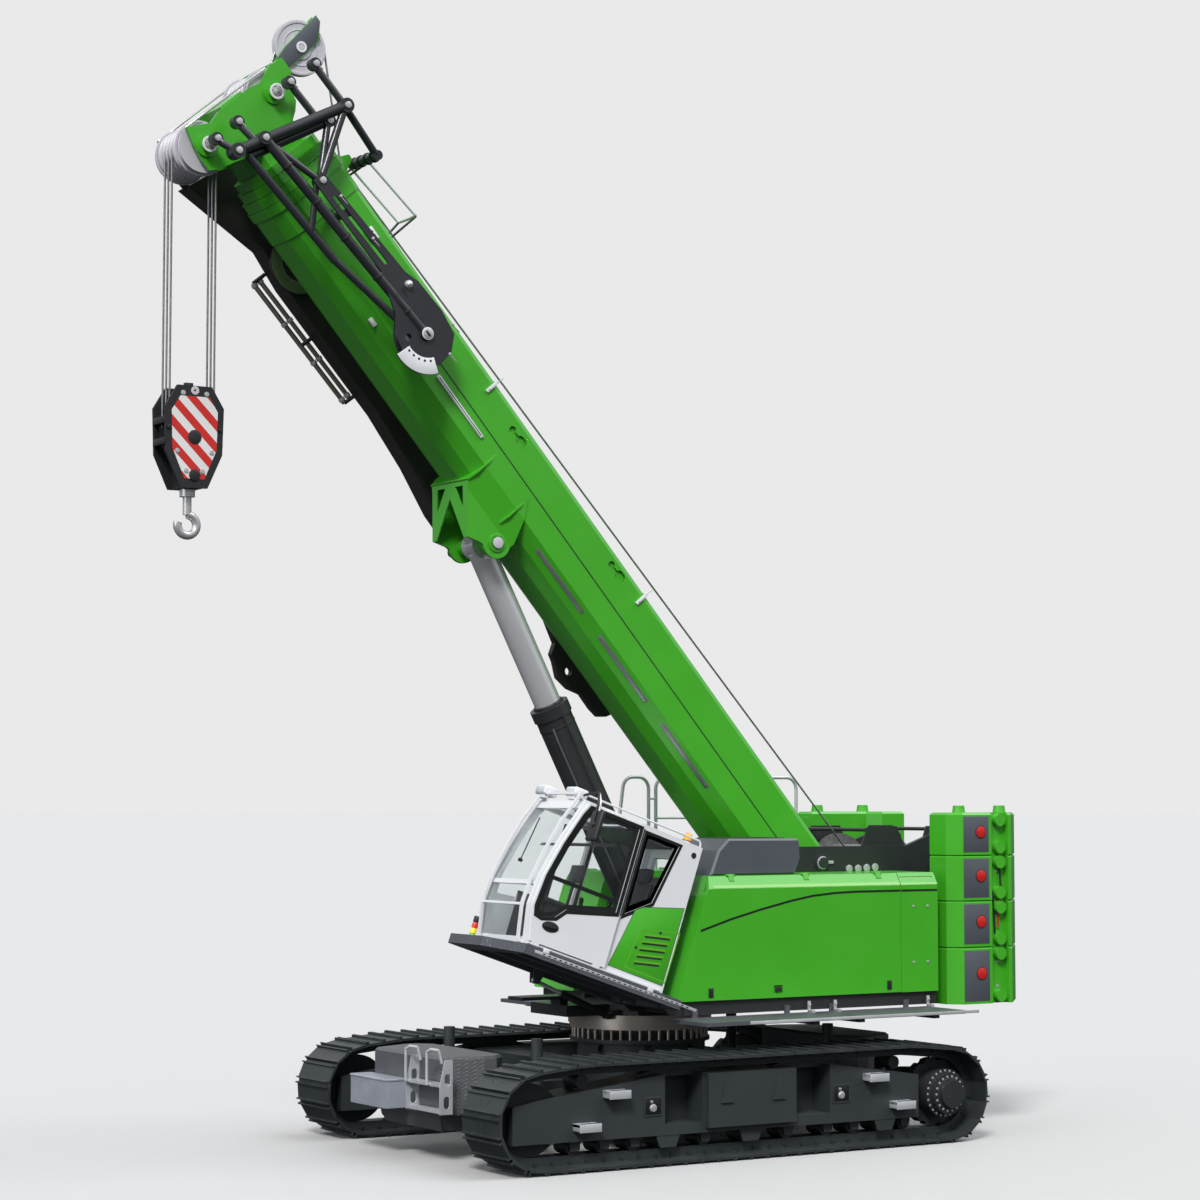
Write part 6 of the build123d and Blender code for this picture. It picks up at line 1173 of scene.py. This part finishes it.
# ---------------------------------------------------------------- bright steps, windows and final drives
bm = bmesh.new()
for hand in (1, -1):
    for x, z in ((1.689, 0.77), (2.043, 0.455), (-1.627, 0.77), (-1.989, 0.455)):
        block(bm, (x, hand * 2.187, z + 0.0145), (0.262, 0.136, 0.034))
        block(bm, (x, hand * 2.252, z - 0.012), (0.262, 0.008, 0.085))
        for side in (-1, 1):
            block(bm, (x + side * 0.127, hand * 2.187, z - 0.008), (0.008, 0.136, 0.07))
        for k in range(7):
            for y in (2.15, 2.21):
                place = (x - 0.1 + 0.033 * k, hand * y, z + 0.031)
                rod(bm, place, (place[0], place[1], z + 0.035), 0.009, sides=10)
piece("step_treads", bm, "undercarriage", zinc, "galvanised", bevel=0.002)


def outline(x, z, half_x, half_z):
    """The four corners of a rectangle in the machine's side view."""
    return [(x + i * half_x, z + k * half_z) for i, k in ((-1, -1), (1, -1), (1, 1), (-1, 1))]


# black sheets in the side frames' windows: painted shade for the dark inside of the openings, with their pins and
# rims
dark, window_pins, rims = bmesh.new(), bmesh.new(), bmesh.new()
for x in (-1.207, 1.207):
    for hand in (1, -1):
        block(dark, (x, hand * 2.1215, 0.6), (0.2, 0.003, 0.17))
        stud(window_pins, (x, hand * 2.122, 0.585), hand * 0.018, 0.045, 0.036, sides=28)
        rod(window_pins, (x + 0.02, hand * 2.122, 0.64), (x + 0.02, hand * 2.132, 0.66), 0.016, sides=16)
        frame_on(rims, world_place, outline(x, 0.6, 0.115, 0.1), outline(x, 0.6, 0.098, 0.083), hand * 2.1205,
                 hand * 0.007)
piece("frame_window_shade", dark, "undercarriage", black_line, "trim", bevel=0.001)
piece("window_pins", window_pins, "undercarriage", pin_steel, "bright_steel", bevel=0.003)
piece("window_frames", rims, "undercarriage", frame_paint, "slate_paint", bevel=0.002)

drive_x, drive_z = -end_x, end_radius
for side_name, hand in sides:
    places = [(drive_x + radius * cos(2 * pi * k / count), hand * y, drive_z + radius * sin(2 * pi * k / count))
              for radius, y, count in ((0.245, 2.1375, 24), (0.187, 2.2175, 18)) for k in range(count)]
    bolts(f"drive_bolts_{side_name}", places, (0, hand, 0), 0.01, "undercarriage", pin_steel)
    bm = bmesh.new()
    disc(bm, (drive_x, hand * 2.2175, drive_z), 0.172, hand * 0.008, inner=0.151)
    disc(bm, (drive_x, hand * 2.1375, drive_z), 0.228, hand * 0.008, inner=0.2255)
    piece(f"drive_rings_{side_name}", bm, "undercarriage", frame_paint, "slate_paint", bevel=0.001)

# ---------------------------------------------------------------- rings on the faces of the sheaves
bm = bmesh.new()
for hand in (1, -1):
    for rise in head_pin_rises:
        centre = boom(head_pin_u, hand * 0.2475, rise)
        disc(bm, centre, 0.29, hand * 0.006, inner=0.26)
        disc(bm, centre, 0.1798, hand * 0.008, inner=0.1624)
for hand in (1, -1):
    centre = boom(11.68, 0.101 + hand * 0.0301, 0.561)
    disc(bm, centre, 0.298, hand * 0.008, inner=0.262)
    disc(bm, centre, 0.2, hand * 0.006, inner=0.185)
    disc(bm, centre, 0.13, hand * 0.012, inner=0.07)
piece("sheave_rings", bm, "boom_head", sheave_grey, "galvanised", bevel=0.003)

# ---------------------------------------------------------------- dark ears of the top sheave
ear = ((11.585, 0.18), (11.72, 0.18), (11.785, 0.42), (11.846, 0.925), (11.774, 0.925), (11.626, 0.775),
       (11.597, 0.42))
bm = bmesh.new()
for y, thick in ((0.1602, 0.003), (0.0418, -0.003)):
    plate_on(bm, boom, ear, y, thick)
piece("sheave_ear_faces", bm, "boom_head", slate_paint, "slate_paint", bevel=0.001)
bm = bmesh.new()
disc(bm, boom(11.68, 0.1632, 0.561), 0.06, 0.012, inner=0.034)
piece("sheave_ear_ring", bm, "boom_head", white_paint, "white_paint", bevel=0.002)

# ---------------------------------------------------------------- lamp hoods, sun blind and seams on the cab
hoods, glasses = bmesh.new(), bmesh.new()
for a, y, b in work_lamps:
    cab_block(hoods, a + 0.005, y, b + 0.012, (0.172, 0.205, 0.1))
    cab_block(glasses, a + 0.0925, y, b + 0.008, (0.006, 0.17, 0.066))
piece("work_lamp_hoods", hoods, "cab", white_paint, "white_paint", bevel=0.018, segments=3)
piece("work_lamp_glasses", glasses, "cab", lamp_lens, "glazing", bevel=0.002)
bm = bmesh.new()
for (a0, b0), (a1, b1) in zip(rear_panel, rear_panel[1:] + rear_panel[:1]):
    rod(bm, cab(a0, 1.4562, b0), cab(a1, 1.4562, b1), 0.0024, sides=8)
piece("rear_panel_seam", bm, "cab", black_line, "trim")
bm = bmesh.new()
plate_on(bm, cab, ((1.2, 1.33), (1.62, 1.2), (1.6, 1.235), (1.22, 1.36)), 0.56, 0.84)
piece("sun_blind", bm, "cab", black_plastic, "trim", bevel=0.004)
bm = bmesh.new()
cab_block(bm, 0.86, seat_y, 1.545, (0.72, 0.8, 0.03))
cab_block(bm, 0.33, seat_y, 0.72, (0.03, 0.84, 1.1))
for a in (0.98, 1.35):
    cab_block(bm, a, 0.535, 0.95, (0.05, 0.03, 1.15))
cab_block(bm, 1.1, 0.535, 0.42, (1.2, 0.03, 0.5))
cab_block(bm, 1.2, 0.545, 0.68, (0.5, 0.1, 0.05))
piece("cab_lining", bm, "cab", cab_trim, "trim", bevel=0.012, segments=3)

# perforated edges of platform and catwalk
bm = bmesh.new()
# black blocks along the platform edge: painted shade for the dark inside of its perforations
for k in range(28):
    cab_block(bm, 0.02 + 0.069 * k, 1.7545, -0.045, (0.03, 0.002, 0.012))
piece("platform_edge_hole_shade", bm, "cab", black_line, "trim")
bm = bmesh.new()
for hand in (1, -1):
    block(bm, (-1.55, hand * 2.1515, 1.405), (3.1, 0.003, 0.034))
piece("catwalk_edges", bm, "upper_deck", zinc, "galvanised", bevel=0.001)

# ---------------------------------------------------------------- hoist falls, hanging from the boom head to the hook block
bm = bmesh.new()
for x in (-0.2463, 0.2463):
    for y in (-0.09, 0.0, 0.09):
        rod(bm, (hook_x + x, y, 7.56), (hook_x + x, y, 10.429), 0.011, sides=10)
lengthwise = [e for e in bm.edges if e.calc_length() > 1]
bmesh.ops.subdivide_edges(bm, edges=lengthwise, cuts=40, use_grid_fill=True)
falls = piece("hoist_falls_wire", bm, None, rope_steel, "galvanised")
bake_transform(falls)
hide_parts("hoist_ropes")

# ---------------------------------------------------------------- stage
floor_mesh = bpy.data.meshes.new("studio floor")
bm = bmesh.new()
bmesh.ops.create_circle(bm, cap_ends=True, segments=96, radius=620)
bm.to_mesh(floor_mesh)
bm.free()
floor = bpy.data.objects.new("studio_floor", floor_mesh)
scene.collection.objects.link(floor)
floor_grey = (0.56, 0.56, 0.562)
floor_mesh.materials.append(finish("studio floor", floor_grey, floor_grey, 0.75, wear=0, dust=0, drift=0.004,
                                   bump=0.0001))
floor.location.z = -0.001
floor.visible_diffuse = False
floor.visible_glossy = False

# a pale backdrop for the camera and the panes, a softer sky with a dark lower half as light
world = bpy.data.worlds.new("studio")
scene.world = world
world.use_nodes = True
sky = world.node_tree
above = add(sky, "SeparateXYZ", links={0: add(sky, "TexCoord").outputs["Generated"]}).outputs["Z"]
tone = mixed(sky, ramp(sky, above, -0.05, 0.4), (0.07, 0.072, 0.075, 1), (0.62, 0.63, 0.65, 1))
seen = add(sky, "LightPath")
direct = math(sky, "MAXIMUM", seen.outputs["Is Camera Ray"], seen.outputs["Is Transmission Ray"])
backdrop = mixed(sky, direct, tone, (0.82, 0.82, 0.82, 1))
sky.links.new(backdrop, sky.nodes["Background"].inputs["Color"])
sky.nodes["Background"].inputs["Strength"].default_value = 1.0


def far_light(name, direction, power, spread, colour):
    """A distant soft light that shines from a direction."""
    lamp = bpy.data.lights.new(name, "SUN")
    lamp.energy = power
    lamp.angle = radians(spread)
    lamp.color = colour
    holder = bpy.data.objects.new(name, lamp)
    scene.collection.objects.link(holder)
    holder.location = Vector(direction) * 30
    holder.rotation_euler = Vector(direction).to_track_quat("Z", "Y").to_euler()


far_light("key light", (0.5, 0.55, 0.67), 2.5, 14, (1, 0.99, 0.97))
far_light("top light", (-0.5, 0.3, 0.8), 1.2, 40, (0.97, 0.985, 1))
far_light("front light", (0.95, 0.2, 0.25), 0.5, 40, (0.94, 0.97, 1))

camera = bpy.data.cameras.new("camera")
camera.lens = 84.37
camera.sensor_width = 36
camera.clip_end = 900
camera_holder = bpy.data.objects.new("camera", camera)
scene.collection.objects.link(camera_holder)
camera_holder.location = (17.187, 26.596, 3.771)
camera_holder.rotation_euler = (radians(94.02), 0, radians(147.93))
scene.camera = camera_holder
scene.view_settings.view_transform = "Standard"
